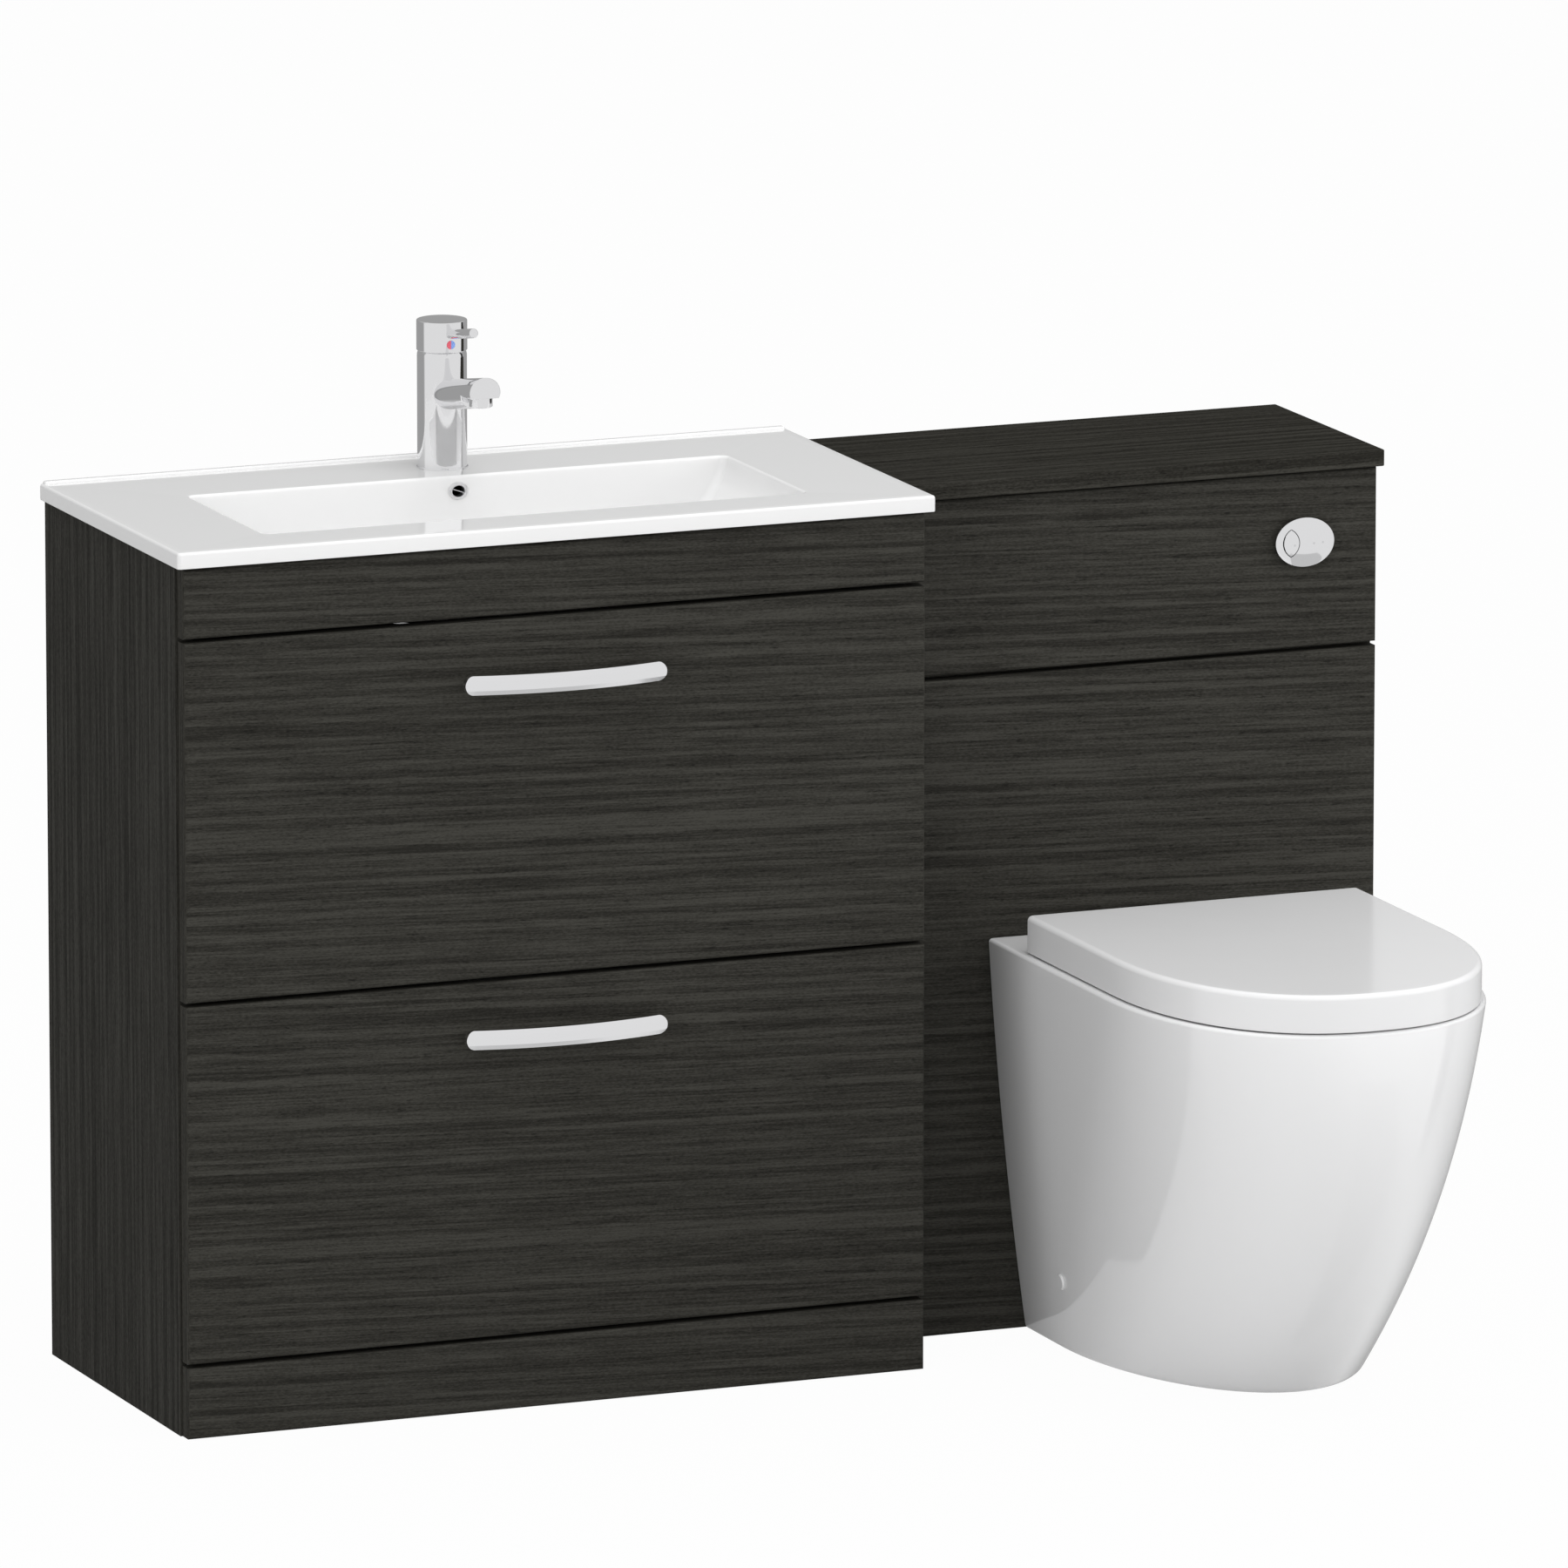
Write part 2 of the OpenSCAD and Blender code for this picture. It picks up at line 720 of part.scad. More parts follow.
module bottle_trap() {
    joint_z = waste_z - 60;
    body_top = joint_z - 30;
    body_bottom = body_top - 105;
    outlet = body_top - 32;
    color("Silver") difference() {
        union() {
            translate([vanity_mid, at(waste_d), joint_z - 16]) cylinder(r = 27, h = 26, $fn = 8);
            post(vanity_mid, waste_d, 16, body_top - 20, joint_z - 10);
            translate([vanity_mid, at(waste_d), 0]) rotate_extrude() polygon([[0, body_bottom],
                [22, body_bottom], [28, body_bottom + 6], [30, body_bottom + 14],
                [30, body_top - 8], [25, body_top], [0, body_top]]);
            post(vanity_mid, waste_d, 31.5, body_bottom + 28, body_bottom + 36);
            bar(vanity_mid, outlet, 16, 0, waste_d - 50);
            bar(vanity_mid, outlet, 18, waste_d - 50, waste_d);
            bar(vanity_mid, outlet, 24, waste_d - 52, waste_d - 34);
        }
        post(vanity_mid, waste_d, waste_tube_r + slip, joint_z, joint_z + 30);
        post(vanity_mid, waste_d, 14, body_bottom + 12, joint_z + cut);
        bar(vanity_mid, outlet, 14, -cut, waste_d);
    }
}

// ---- Tap ----

module at_tap() {
    translate([tap_x, at(tap_d), 0]) children();
}

// Spout bar of radius r, from the tap's middle to past its end
module spout_bar(r, length) {
    translate([0, 0, spout_z]) rotate([90 - spout_slope, 0, 0]) cylinder(r = r, h = length);
}

module tap_body() {
    top = basin_z + tap_h;
    dome_start = pivot_z + sqrt(dome_r * dome_r - tap_r * tap_r);
    length = spout_reach / cos(spout_slope) + spout_r;
    color("Silver") at_tap() difference() {
        union() {
            intersection() {
                translate([0, 0, basin_z]) cylinder(r = tap_r, h = tap_h);
                union() {
                    translate([0, 0, basin_z]) cylinder(r = tap_r + 1, h = dome_start - basin_z);
                    translate([0, 0, pivot_z]) sphere(dome_r);
                }
            }
            translate([0, 0, basin_z]) cylinder(r = tap_r + 1.1, h = 2);
            difference() {
                spout_bar(spout_r, length);
                translate([-50, -spout_reach - 100, 0]) cube([100, 100, 2 * basin_z]);
                translate([-50, -spout_reach - cut, spout_flat_z - 60])
                    cube([100, spout_cut + cut, 60]);
            }
        }
        translate([0, 0, top - 38]) cylinder(r = cartridge_r + slip, h = 40);
        translate([0, 0, 5]) spout_bar(5, (spout_reach - aerator_back) / cos(spout_slope));
        translate([0, aerator_back - spout_reach, spout_flat_z - 20]) cylinder(r = 9, h = 26);
        for (side = [-1, 1])
            translate([side * 8.5, -5, basin_z - cut]) cylinder(r = tail_r + slip, h = 15);
        translate([0, 9, basin_z - cut]) cylinder(r = stud_r + turn_fit, h = 20);
    }
}

module tap_aerator() {
    color("Silver") at_tap() translate([0, aerator_back - spout_reach, spout_flat_z - aerator_h])
        difference() {
            union() {
                translate([0, 0, 0.8]) cylinder(r = aerator_r, h = aerator_h - 0.8);
                cylinder(r = aerator_r - 0.8, h = 2);
                translate([0, 0, aerator_h]) cylinder(r = 8.8, h = 4);
            }
            translate([0, 0, -cut]) cylinder(r = 9.5, h = 3);
            for (k = [0 : 5]) rotate([0, 0, 60 * k]) translate([5, 0, 0])
                cylinder(r = 1.6, h = aerator_h + 5);
            cylinder(r = 1.6, h = aerator_h + 5);
        }
}

module tap_cartridge() {
    top = basin_z + tap_h;
    color("WhiteSmoke") at_tap() difference() {
        translate([0, 0, top - 38]) cylinder(r = cartridge_r, h = 37);
        translate([0, 0, pivot_z - 8]) cylinder(r = rotor_r + turn_fit, h = 30);
        for (k = [0 : 2]) rotate([0, 0, 120 * k]) translate([8, 0, top - 39]) cylinder(r = 4, h = 20);
    }
}

// Rotor that turns in the cartridge and carries the lever's pivot pin
module cartridge_rotor() {
    color("WhiteSmoke") at_tap() translate([0, 0, pivot_z]) {
        difference() {
            translate([0, 0, -8]) cylinder(r = rotor_r, h = 15);
            translate([-stem_w / 2 - slip, -rotor_r - cut, -6]) cube([stem_w + 2 * slip, 2 * rotor_r + 2 * cut, 20]);
        }
        rotate([0, 90, 0]) cylinder(r = pivot_pin_r, h = stem_w + 4, center = true);
    }
}

module lever_axis() {
    translate([0, 0, cap_h - lever_drop]) rotate([90 - lever_slope, 0, 0]) children();
}

module tap_cap() {
    hollow_h = cap_h - 21;
    edge = 1;
    color("Silver") at_tap() {
        translate([0, 0, cap_z]) difference() {
            rotate_extrude() {
                square([cap_r - edge, cap_h]);
                square([cap_r, cap_h - edge]);
                translate([cap_r - edge, cap_h - edge]) circle(edge);
            }
            translate([0, 0, -cut]) cylinder(r = cap_r - cap_wall, h = hollow_h + cut);
            translate([0, 0, -cut]) cylinder(r = cap_r - 1.25, h = 2.8 + cut);
            lever_axis() translate([0, 0, cap_r - 12]) cylinder(r = lever_r + turn_fit, h = 30);
            translate([0, -cap_r + 0.4, mark_drop]) rotate([90, 0, 0]) cylinder(r = mark_r + 0.1, h = 5);
        }
        translate([0, 0, pivot_z]) difference() {
            translate([-stem_w / 2, -4, -4.5]) cube([stem_w, 8, lever_pivot_drop + hollow_h + 5]);
            rotate([0, 90, 0]) cylinder(r = pivot_pin_r + turn_fit, h = 20, center = true);
        }
    }
}

module tap_lever() {
    edge = 0.8;
    color("Silver") at_tap() translate([0, 0, cap_z]) lever_axis() translate([0, 0, cap_r - 12]) {
        cylinder(r = lever_r, h = lever_reach - cap_r + 12 - edge);
        cylinder(r = lever_r - edge, h = lever_reach - cap_r + 12);
    }
}

// Hot and cold mark, a small disc set in the cap under the lever
module tap_indicator() {
    color("Tomato") at_tap() translate([0, -cap_r + 0.4, cap_z + mark_drop]) rotate([90, 0, 0])
        cylinder(r = mark_r, h = 0.6);
}

module tap_fixing() {
    under = vanity_h;
    color("DimGray") at_tap() {
        translate([0, 9, under - 45]) cylinder(r = stud_r, h = under + basin_edge + 18 - under + 45);
        difference() {
            translate([0, 0, under - 3]) cylinder(r = 24, h = 3);
            translate([-15, -30, under - 4]) cube([30, 30, 5]);
            translate([0, 9, under - 4]) cylinder(r = stud_r + turn_fit, h = 5);
        }
        difference() {
            translate([0, 9, under - 10]) cylinder(r = 7.5, h = 7, $fn = 6);
            translate([0, 9, under - 11]) cylinder(r = stud_r + turn_fit, h = 9);
        }
        for (side = [-1, 1]) translate([side * 8.5, -5, under - 90])
            cylinder(r = tail_r, h = 90 + basin_edge + 12);
    }
}

// ---- Cistern unit ----

module wc_gable(x) {
    color("DarkSlateGray") block(x, x + board, 0, wc_d, 0, wc_h);
}

module wc_top() {
    r = 1.5;
    w = wc_w + wc_top_side - basin_over - slip;
    d = wc_face + wc_top_front;
    color("DarkSlateGray") translate([wc_x + basin_over + slip, at(0), wc_h]) intersection() {
        rotate([90, 0, 0]) linear_extrude(d) union() {
            square([w - r, wc_top_t]);
            translate([0, r]) square([w, wc_top_t - 2 * r]);
            for (z = [r, wc_top_t - r]) translate([w - r, z]) circle(r);
        }
        rotate([90, 0, 90]) linear_extrude(w) union() {
            translate([r - d, 0]) square([d - r, wc_top_t]);
            translate([-d, r]) square([d, wc_top_t - 2 * r]);
            for (z = [r, wc_top_t - r]) translate([r - d, z]) circle(r);
        }
    }
}

panel_x = wc_x + 1.5;
panel_w = wc_w - 3;

module wc_upper_panel() {
    z = lower_panel_h + panel_gap;
    color("DarkSlateGray") difference() {
        front_panel(panel_x, panel_w, wc_d, z, wc_h - 2 - z);
        bar(wc_x + button_x, button_z, collar_r + 0.5, wc_d - cut, wc_face + cut);
    }
}

module wc_lower_panel() {
    color("DarkSlateGray") difference() {
        front_panel(panel_x, panel_w, wc_d, 0, lower_panel_h);
        bar(pan_mid, inlet_z, flush_pipe_r + 6, wc_d - cut, wc_face + cut);
        bar(pan_mid, outlet_z, soil_r + 11, wc_d - cut, wc_face + cut);
    }
}

module wc_rails() {
    x0 = wc_x + board;
    x1 = wc_x + wc_w - board;
    color("DarkSlateGray") {
        block(x0, x1, wc_d - board, wc_d, lower_panel_h - 35, lower_panel_h + 35);
        block(x0, x1, 0, board, wc_h - 80, wc_h);
        block(x0, x1, 0, board, 0, 80);
        difference() {
            block(x0, x1, 20, 200, shelf_z, shelf_top);
            post(pan_mid, tank_mid_d, valve_tail_r + 8, shelf_z - cut, shelf_top + cut);
            post(pan_mid + fill_dx, tank_mid_d, 14, shelf_z - cut, shelf_top + cut);
        }
    }
}

module cistern_tank() {
    color("WhiteSmoke") translate([pan_mid, at(tank_mid_d), shelf_top]) difference() {
        linear_extrude(tank_h) round_rect(tank_w, tank_d, tank_r);
        translate([0, 0, tank_wall]) linear_extrude(tank_h)
            round_rect(tank_w - 2 * tank_wall, tank_d - 2 * tank_wall, tank_r - tank_wall);
        translate([0, 0, -cut]) cylinder(r = valve_tail_r + slip, h = tank_wall + 2 * cut);
        translate([fill_dx, 0, -cut]) cylinder(r = 10.5 + slip, h = tank_wall + 2 * cut);
    }
}

module cistern_lid() {
    lip = 3;
    skirt = 12;
    color("WhiteSmoke") translate([pan_mid, at(tank_mid_d), shelf_top + tank_h]) difference() {
        translate([0, 0, -skirt]) linear_extrude(skirt + tank_wall)
            round_rect(tank_w + 2 * lip + 2 * slip, tank_d + 2 * lip + 2 * slip, tank_r + lip);
        translate([0, 0, -skirt - cut]) linear_extrude(skirt + cut)
            round_rect(tank_w + 2 * slip, tank_d + 2 * slip, tank_r + slip);
    }
}

module fill_valve() {
    x = pan_mid + fill_dx;
    floor_z = shelf_top + tank_wall;
    color("LightGray") {
        difference() {
            union() {
                post(x, tank_mid_d, 10.5, shelf_z - 30, floor_z);
                post(x, tank_mid_d, 18, floor_z, floor_z + 4);
                post(x, tank_mid_d, 12, floor_z, floor_z + 280);
                post(x, tank_mid_d, 20, floor_z + 280, floor_z + 305);
            }
            post(x, tank_mid_d, 7, shelf_z - 31, floor_z + 260);
        }
        difference() {
            translate([x, at(tank_mid_d), shelf_z - 8]) cylinder(r = 18, h = 8, $fn = 6);
            post(x, tank_mid_d, 10.5 + turn_fit, shelf_z - 9, shelf_z + cut);
        }
    }
}

module float_cup() {
    x = pan_mid + fill_dx;
    z = shelf_top + tank_wall + 110;
    color("SteelBlue") difference() {
        post(x, tank_mid_d, 34, z, z + 50);
        post(x, tank_mid_d, 12 + slip, z - cut, z + 51);
    }
}

module flush_valve() {
    floor_z = shelf_top + tank_wall;
    cage_h = 120;
    color("LightGray") difference() {
        union() {
            post(pan_mid, tank_mid_d, valve_base_r, floor_z, floor_z + 6);
            post(pan_mid, tank_mid_d, valve_tail_r, shelf_top - 30, floor_z);
            post(pan_mid, tank_mid_d, valve_base_r, floor_z + cage_h, floor_z + cage_h + 8);
            for (k = [0 : 3]) translate([pan_mid, at(tank_mid_d), floor_z])
                rotate([0, 0, 45 + 90 * k]) translate([valve_base_r - 7, -6, 0]) cube([6, 12, cage_h + 2]);
        }
        post(pan_mid, tank_mid_d, valve_tail_r - 4, shelf_top - 31, floor_z + 7);
        post(pan_mid, tank_mid_d, core_r + slip, floor_z + cage_h - cut, floor_z + cage_h + 9);
    }
}

module flush_core() {
    z = shelf_top + tank_wall + 6 + slip;
    color("SteelBlue") difference() {
        union() {
            post(pan_mid, tank_mid_d, 34, z, z + 6);
            post(pan_mid, tank_mid_d, core_r, z, z + 220);
        }
        post(pan_mid, tank_mid_d, core_r - 2.5, z + 4, z + 221);
    }
}

// Ring section of a pipe bend that turns from down to forward
module pipe_bend(r) {
    translate([pan_mid, at(tank_mid_d + bend_r), inlet_z + bend_r]) rotate([0, 90, 0])
        rotate_extrude(angle = 90) translate([bend_r, 0]) circle(r);
}

module flush_pipe() {
    top = shelf_top - 30;
    reach = wc_face + 33;
    color("WhiteSmoke") difference() {
        union() {
            post(pan_mid, tank_mid_d, flush_pipe_r, inlet_z + bend_r, top);
            pipe_bend(flush_pipe_r);
            bar(pan_mid, inlet_z, flush_pipe_r, tank_mid_d + bend_r, reach);
            post(pan_mid, tank_mid_d, valve_tail_r + 6, top - 12, top + 10);
        }
        post(pan_mid, tank_mid_d, flush_pipe_r - pipe_wall, inlet_z + bend_r, top + cut);
        pipe_bend(flush_pipe_r - pipe_wall);
        bar(pan_mid, inlet_z, flush_pipe_r - pipe_wall, tank_mid_d + bend_r, reach + cut);
        post(pan_mid, tank_mid_d, valve_tail_r + turn_fit, top, top + 11);
    }
}

// ---- Flush buttons ----

module at_button() {
    translate([wc_x + button_x, at(wc_face), button_z]) rotate([90, 0, 0]) children();
}

// Lens outline of the half-flush button, grown by g
module lens_outline(g) {
    lens_r = (lens_h * lens_h + lens_w * lens_w) / (4 * lens_w);
    translate([lens_dx, 0]) intersection_for (side = [-1, 1])
        translate([side * (lens_r - lens_w / 2), 0]) circle(lens_r + g);
}

// Shallow oval dome that both buttons are cut from
module button_dome() {
    rise = dome_t - 2;
    rings = 6;
    x = wc_x + button_x;
    difference() {
        loft(concat([oval_ring(wc_face + button_back, x, button_z, button_w, button_h)],
            [for (k = [0 : rings]) let (a = 76 * k / rings)
                oval_ring(wc_face + button_back + 2 + rise * sin(a), x, button_z,
                    button_w * cos(a), button_h * cos(a))]));
        at_button() linear_extrude(button_back + flange_t + slip) oval_plan(button_w - 4, button_h - 4);
    }
}

module button_collar() {
    color("Silver") at_button() {
        difference() {
            union() {
                linear_extrude(flange_t) oval_plan(button_w - 5, button_h - 5);
                translate([0, 0, -board - 12]) cylinder(r = collar_r, h = board + 12 + 1);
            }
            translate([0, 0, -board - 13]) cylinder(r = collar_r - 3, h = board + 15 + flange_t);
        }
        difference() {
            translate([0, 0, -board - 8]) cylinder(r = collar_r + 7, h = 8, $fn = 6);
            translate([0, 0, -board - 9]) cylinder(r = collar_r + turn_fit, h = 10);
        }
    }
}

module oval_plan(w, h) {
    polygon([for (k = [0 : 47]) [w / 2 * cos(7.5 * k), h / 2 * sin(7.5 * k)]]);
}

module full_flush_button() {
    color("Silver") {
        difference() {
            button_dome();
            at_button() linear_extrude(button_back + 20) lens_outline(groove);
        }
        at_button() translate([6, 0, -board - 4]) cylinder(r = 8, h = board + 7 + button_back);
    }
}

module half_flush_button() {
    color("Silver") {
        intersection() {
            button_dome();
            at_button() linear_extrude(button_back + 20) lens_outline(0);
        }
        at_button() translate([lens_dx + 1.5, 0, -board - 4]) cylinder(r = 3, h = board + 7 + button_back);
    }
}

// ---- Toilet pan ----

// Pan outline at height z, drawn in by an inset
function pan_ring(z, inset, back) = let (t = z / pan_h)
    d_ring(z, pan_mid, pan_half(z) - inset, back,
        wc_face + mix(pan_base_straight, pan_straight, t),
        wc_face + mix(pan_base_reach, pan_reach, bulge(t, 1)) - inset,
        mix(2, pan_square, t), 1);

module pan_outside() {
    steps = 10;
    edge = 4;
    loft(concat(
        [pan_ring(0, 2, wc_face)],
        [for (k = [0 : steps]) pan_ring(mix(3, pan_h - edge, k / steps), 0, wc_face)],
        [for (a = [30, 60, 90]) pan_ring(pan_h - edge * (1 - sin(a)), edge * (1 - cos(a)), wc_face)]));
}

// Space inside the skirt, open to the floor and to the back
module pan_void() {
    steps = 5;
    loft([for (k = [0 : steps])
        let (z = mix(0, pan_h - rim_slab, k / steps), ring = pan_ring(z, pan_wall, wc_face - 5))
        [for (p = ring) [p[0], p[1], k == 0 ? -cut : z]]]);
}

// Bowl as level rings that move back as they go down
module pan_bowl(grow, top) {
    steps = 8;
    loft([for (k = [steps : -1 : 0])
        let (a = 90 * k / steps, s = 1 - cos(a), drop = (pan_h - bowl_sump_z + grow) * sin(a),
            half = mix(bowl_open_w / 2, 42, s) + grow,
            back = mix(bowl_open_back, 425, s) - grow,
            front = mix(bowl_open_front, 520, s) + grow)
        d_ring(k == 0 ? top : pan_h - drop, pan_mid, half, back, mix(560, 470, s), front, 2.1,
            mix(90, 35, s))]);
}

// Soil outlet, from the sump to the back
module pan_trap(r) {
    bar(pan_mid, outlet_z, r, wc_face + 10 - (r < 45 ? cut : 0), wc_face + 120);
    translate([pan_mid, at(wc_face + 120), outlet_z]) sphere(r);
    translate([pan_mid, at(wc_face + 120), outlet_z]) rotate([96, 0, 0])
        cylinder(r = r, h = 75);
}

module pan() {
    color("White") difference() {
        union() {
            difference() {
                pan_outside();
                pan_void();
            }
            intersection() {
                pan_outside();
                union() {
                    pan_bowl(pan_wall, pan_h);
                    pan_trap(soil_r);
                    bar(pan_mid, inlet_z, flush_pipe_r + 14, wc_face + 10, bowl_open_back + 5);
                }
            }
        }
        pan_bowl(0, pan_h + cut);
        pan_trap(soil_r - 9);
        bar(pan_mid, inlet_z, flush_pipe_r + slip, wc_face, bowl_open_back + 20);
        for (side = [-1, 1]) {
            post(pan_mid + side * hinge_pitch / 2, hinge_d, 6, pan_h - rim_slab - cut, pan_h + cut);
            translate([pan_mid + side * (pan_half(side_cap_z) - 40), at(cap_d), side_cap_z])
                rotate([0, side * 90, 0]) cylinder(r = 5, h = 60);
        }
    }
}

module pan_connector() {
    mouth = wc_face + 40;
    sleeve = wc_face - 26;
    color("DimGray") translate([pan_mid, at(0), outlet_z]) rotate([90, 0, 0]) rotate_extrude()
        difference() {
            union() {
                square([soil_r + 4, sleeve + 10]);
                translate([0, sleeve]) square([soil_r + 8, mouth - sleeve]);
                for (d = [sleeve + 4, mouth - 4]) translate([soil_r + 7, d]) circle(3);
            }
            translate([0, -cut]) square([soil_r - 3, wc_face + 9 + cut]);
            translate([0, wc_face + 8]) square([soil_r + slip, 50]);
        }
}

// Angle plate on the floor inside the skirt, with its floor screw and side bolt
module pan_fixing(side) {
    wall_x = pan_base_w / 2 - pan_wall - 2;
    plate = 4;
    translate([pan_mid, 0, 0]) scale_side(side) {
        block(-wall_x, 40 - wall_x, cap_d - 20, cap_d + 20, 0, plate);
        block(-wall_x, plate - wall_x, cap_d - 20, cap_d + 20, 0, side_cap_z + 20);
        translate([20 - wall_x, at(cap_d), plate]) cylinder(r = 7, h = 3, $fn = 6);
        translate([2 - pan_half(side_cap_z), at(cap_d), side_cap_z]) rotate([0, 90, 0])
            cylinder(r = 4, h = pan_half(side_cap_z) - wall_x + plate + 4);
    }
}

module pan_fixings() {
    color("Silver") for (side = [-1, 1]) pan_fixing(side);
}

module side_caps() {
    lean = atan(pan_half(side_cap_z + 1) - pan_half(side_cap_z));
    color("White") for (side = [-1, 1]) translate([pan_mid, 0, 0]) scale_side(side)
        translate([-pan_half(side_cap_z), at(cap_d), side_cap_z]) rotate([0, -90 - lean, 0]) {
            translate([0, 0, 0.3]) cylinder(r = 8.5, h = 1);
            translate([0, 0, 1.3]) cylinder(r1 = 8.5, r2 = 7.2, h = 1.2, $fn = 48);
        }
}

// ---- Seat and lid ----

module at_hinges() {
    for (side = [-1, 1]) translate([pan_mid + side * hinge_pitch / 2, at(hinge_d), 0])
        scale_side(side) children();
}

// Hinge ear on one side of a post, with a round end on the pin's axis
module ear(x0, length) {
    translate([x0, 0, hinge_z]) rotate([0, 90, 0]) cylinder(r = ear_r, h = ear_t);
    translate([x0, -length, hinge_z - ear_r]) cube([ear_t, length, 2 * ear_r]);
}

module hinge_bore() {
    translate([-60, 0, hinge_z]) rotate([0, 90, 0])
        cylinder(r = hinge_pin_r + turn_fit, h = 120);
}

module seat_hinges() {
    pin_half = hinge_post_r + slip + ear_t;
    color("Silver") at_hinges() {
        translate([0, 0, pan_h]) cylinder(r = 18, h = 2.5);
        translate([0, 0, pan_h]) cylinder(r = hinge_post_r, h = 12);
        translate([-hinge_post_r, 0, hinge_z]) rotate([0, 90, 0])
            cylinder(r = 8, h = 2 * hinge_post_r);
        translate([-pin_half, 0, hinge_z]) rotate([0, 90, 0])
            cylinder(r = hinge_pin_r, h = 2 * pin_half);
        translate([0, 0, pan_h - rim_slab - 18]) cylinder(r = 5, h = rim_slab + 20);
        translate([0, 0, pan_h - rim_slab - 10]) cylinder(r = 12, h = 10, $fn = 6);
    }
}

// Lid outline at height z, drawn in by an inset
function lid_ring(z, inset) = d_ring(z, pan_mid, lid_w / 2 - inset,
    wc_face + lid_back + inset, wc_face + lid_straight, wc_face + lid_reach - inset,
    pan_square, max(5 - inset, 1));

module seat() {
    edge = 3;
    back = wc_face + lid_back + 40;
    color("White") difference() {
        union() {
            loft([lid_ring(seat_z, seat_inset + edge), lid_ring(seat_z + edge, seat_inset),
                lid_ring(seat_z + seat_t - edge, seat_inset),
                lid_ring(seat_z + seat_t - 1, seat_inset + 1),
                lid_ring(seat_z + seat_t, seat_inset + edge)]);
            at_hinges() ear(hinge_post_r + slip, 40);
        }
        loft([for (p = [[-cut, 0], [4, 0], [seat_t - 5, 3], [seat_t - 1, 8], [seat_t + cut, 12]])
            d_ring(seat_z + p[0], pan_mid, 116 + p[1], back + 30 - p[1], 560,
                bowl_open_front - 22 + p[1], 2.1, 60)]);
        at_hinges() hinge_bore();
    }
}

module seat_buffers() {
    color("Gray") for (side = [-1, 1], d = [hinge_d + 60, hinge_d + 330])
        post(pan_mid + side * (d < wc_face + 200 ? 150 : 138), d, 7, pan_h + slip, seat_z);
}

module lid() {
    edge = 5;
    inner_top = lid_z + lid_h - lid_shell;
    color("White") difference() {
        union() {
            difference() {
                loft(concat([lid_ring(lid_z, 1), lid_ring(lid_z + 1, 0)],
                    [for (a = [0, 30, 60, 90])
                        lid_ring(lid_z + lid_h - edge * (1 - sin(a)), edge * (1 - cos(a)))]));
                loft([lid_ring(lid_z - cut, lid_shell - 2), lid_ring(lid_z + 4, lid_shell),
                    lid_ring(inner_top, lid_shell)]);
            }
            at_hinges() ear(-hinge_post_r - slip - ear_t, 22);
        }
        at_hinges() {
            hinge_bore();
            translate([hinge_post_r + slip - 0.7, -30, lid_z - cut])
                cube([ear_t + 1.4, 30, hinge_z + ear_r + 1 - lid_z + cut]);
        }
    }
}

vanity_gable(vanity_x);  // vanity_left_gable
vanity_gable(vanity_x + vanity_w - board);  // vanity_right_gable
vanity_floor();
vanity_rails();
fascia_panel();
plinth();
runner_rails();
wall_brackets();
drawer_front(upper_front_z, upper_handle_z);  // upper_drawer_front
drawer_sides(upper_front_z, upper_side_h);  // upper_drawer_sides
upper_drawer_back();
drawer_base(upper_front_z, true);  // upper_drawer_base
slide_links(upper_front_z);  // upper_slide_links
handle(upper_handle_z);  // upper_handle
handle_screws(upper_handle_z);  // upper_handle_screws
drawer_front(lower_front_z, lower_handle_z);  // lower_drawer_front
drawer_sides(lower_front_z, lower_side_h);  // lower_drawer_sides
lower_drawer_back();
drawer_base(lower_front_z, false);  // lower_drawer_base
slide_links(lower_front_z);  // lower_slide_links
handle(lower_handle_z);  // lower_handle
handle_screws(lower_handle_z);  // lower_handle_screws
basin();
overflow_ring();
waste_body();
waste_backnut();
waste_plug();
bottle_trap();
tap_body();
tap_aerator();
tap_cartridge();
cartridge_rotor();
tap_cap();
tap_lever();
tap_indicator();
tap_fixing();
wc_gable(wc_x);  // wc_left_gable
wc_gable(wc_x + wc_w - board);  // wc_right_gable
wc_top();
wc_upper_panel();
wc_lower_panel();
wc_rails();
cistern_tank();
cistern_lid();
fill_valve();
float_cup();
flush_valve();
flush_core();
flush_pipe();
button_collar();
full_flush_button();
half_flush_button();
pan();
pan_connector();
pan_fixings();
side_caps();
seat_hinges();
seat();
seat_buffers();
lid();
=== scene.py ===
# %% [markdown]
# # Toilet and basin combination unit
# This lesson dresses a bathroom unit in Blender. The boards, drawers and plumbing come from a CAD model and keep
# their shape; the glazed ware, the seat, the handles and the tap are remodelled here with smooth surfaces.
# Every cell does one small thing and prints what it made, so it can be run and looked at step by step.

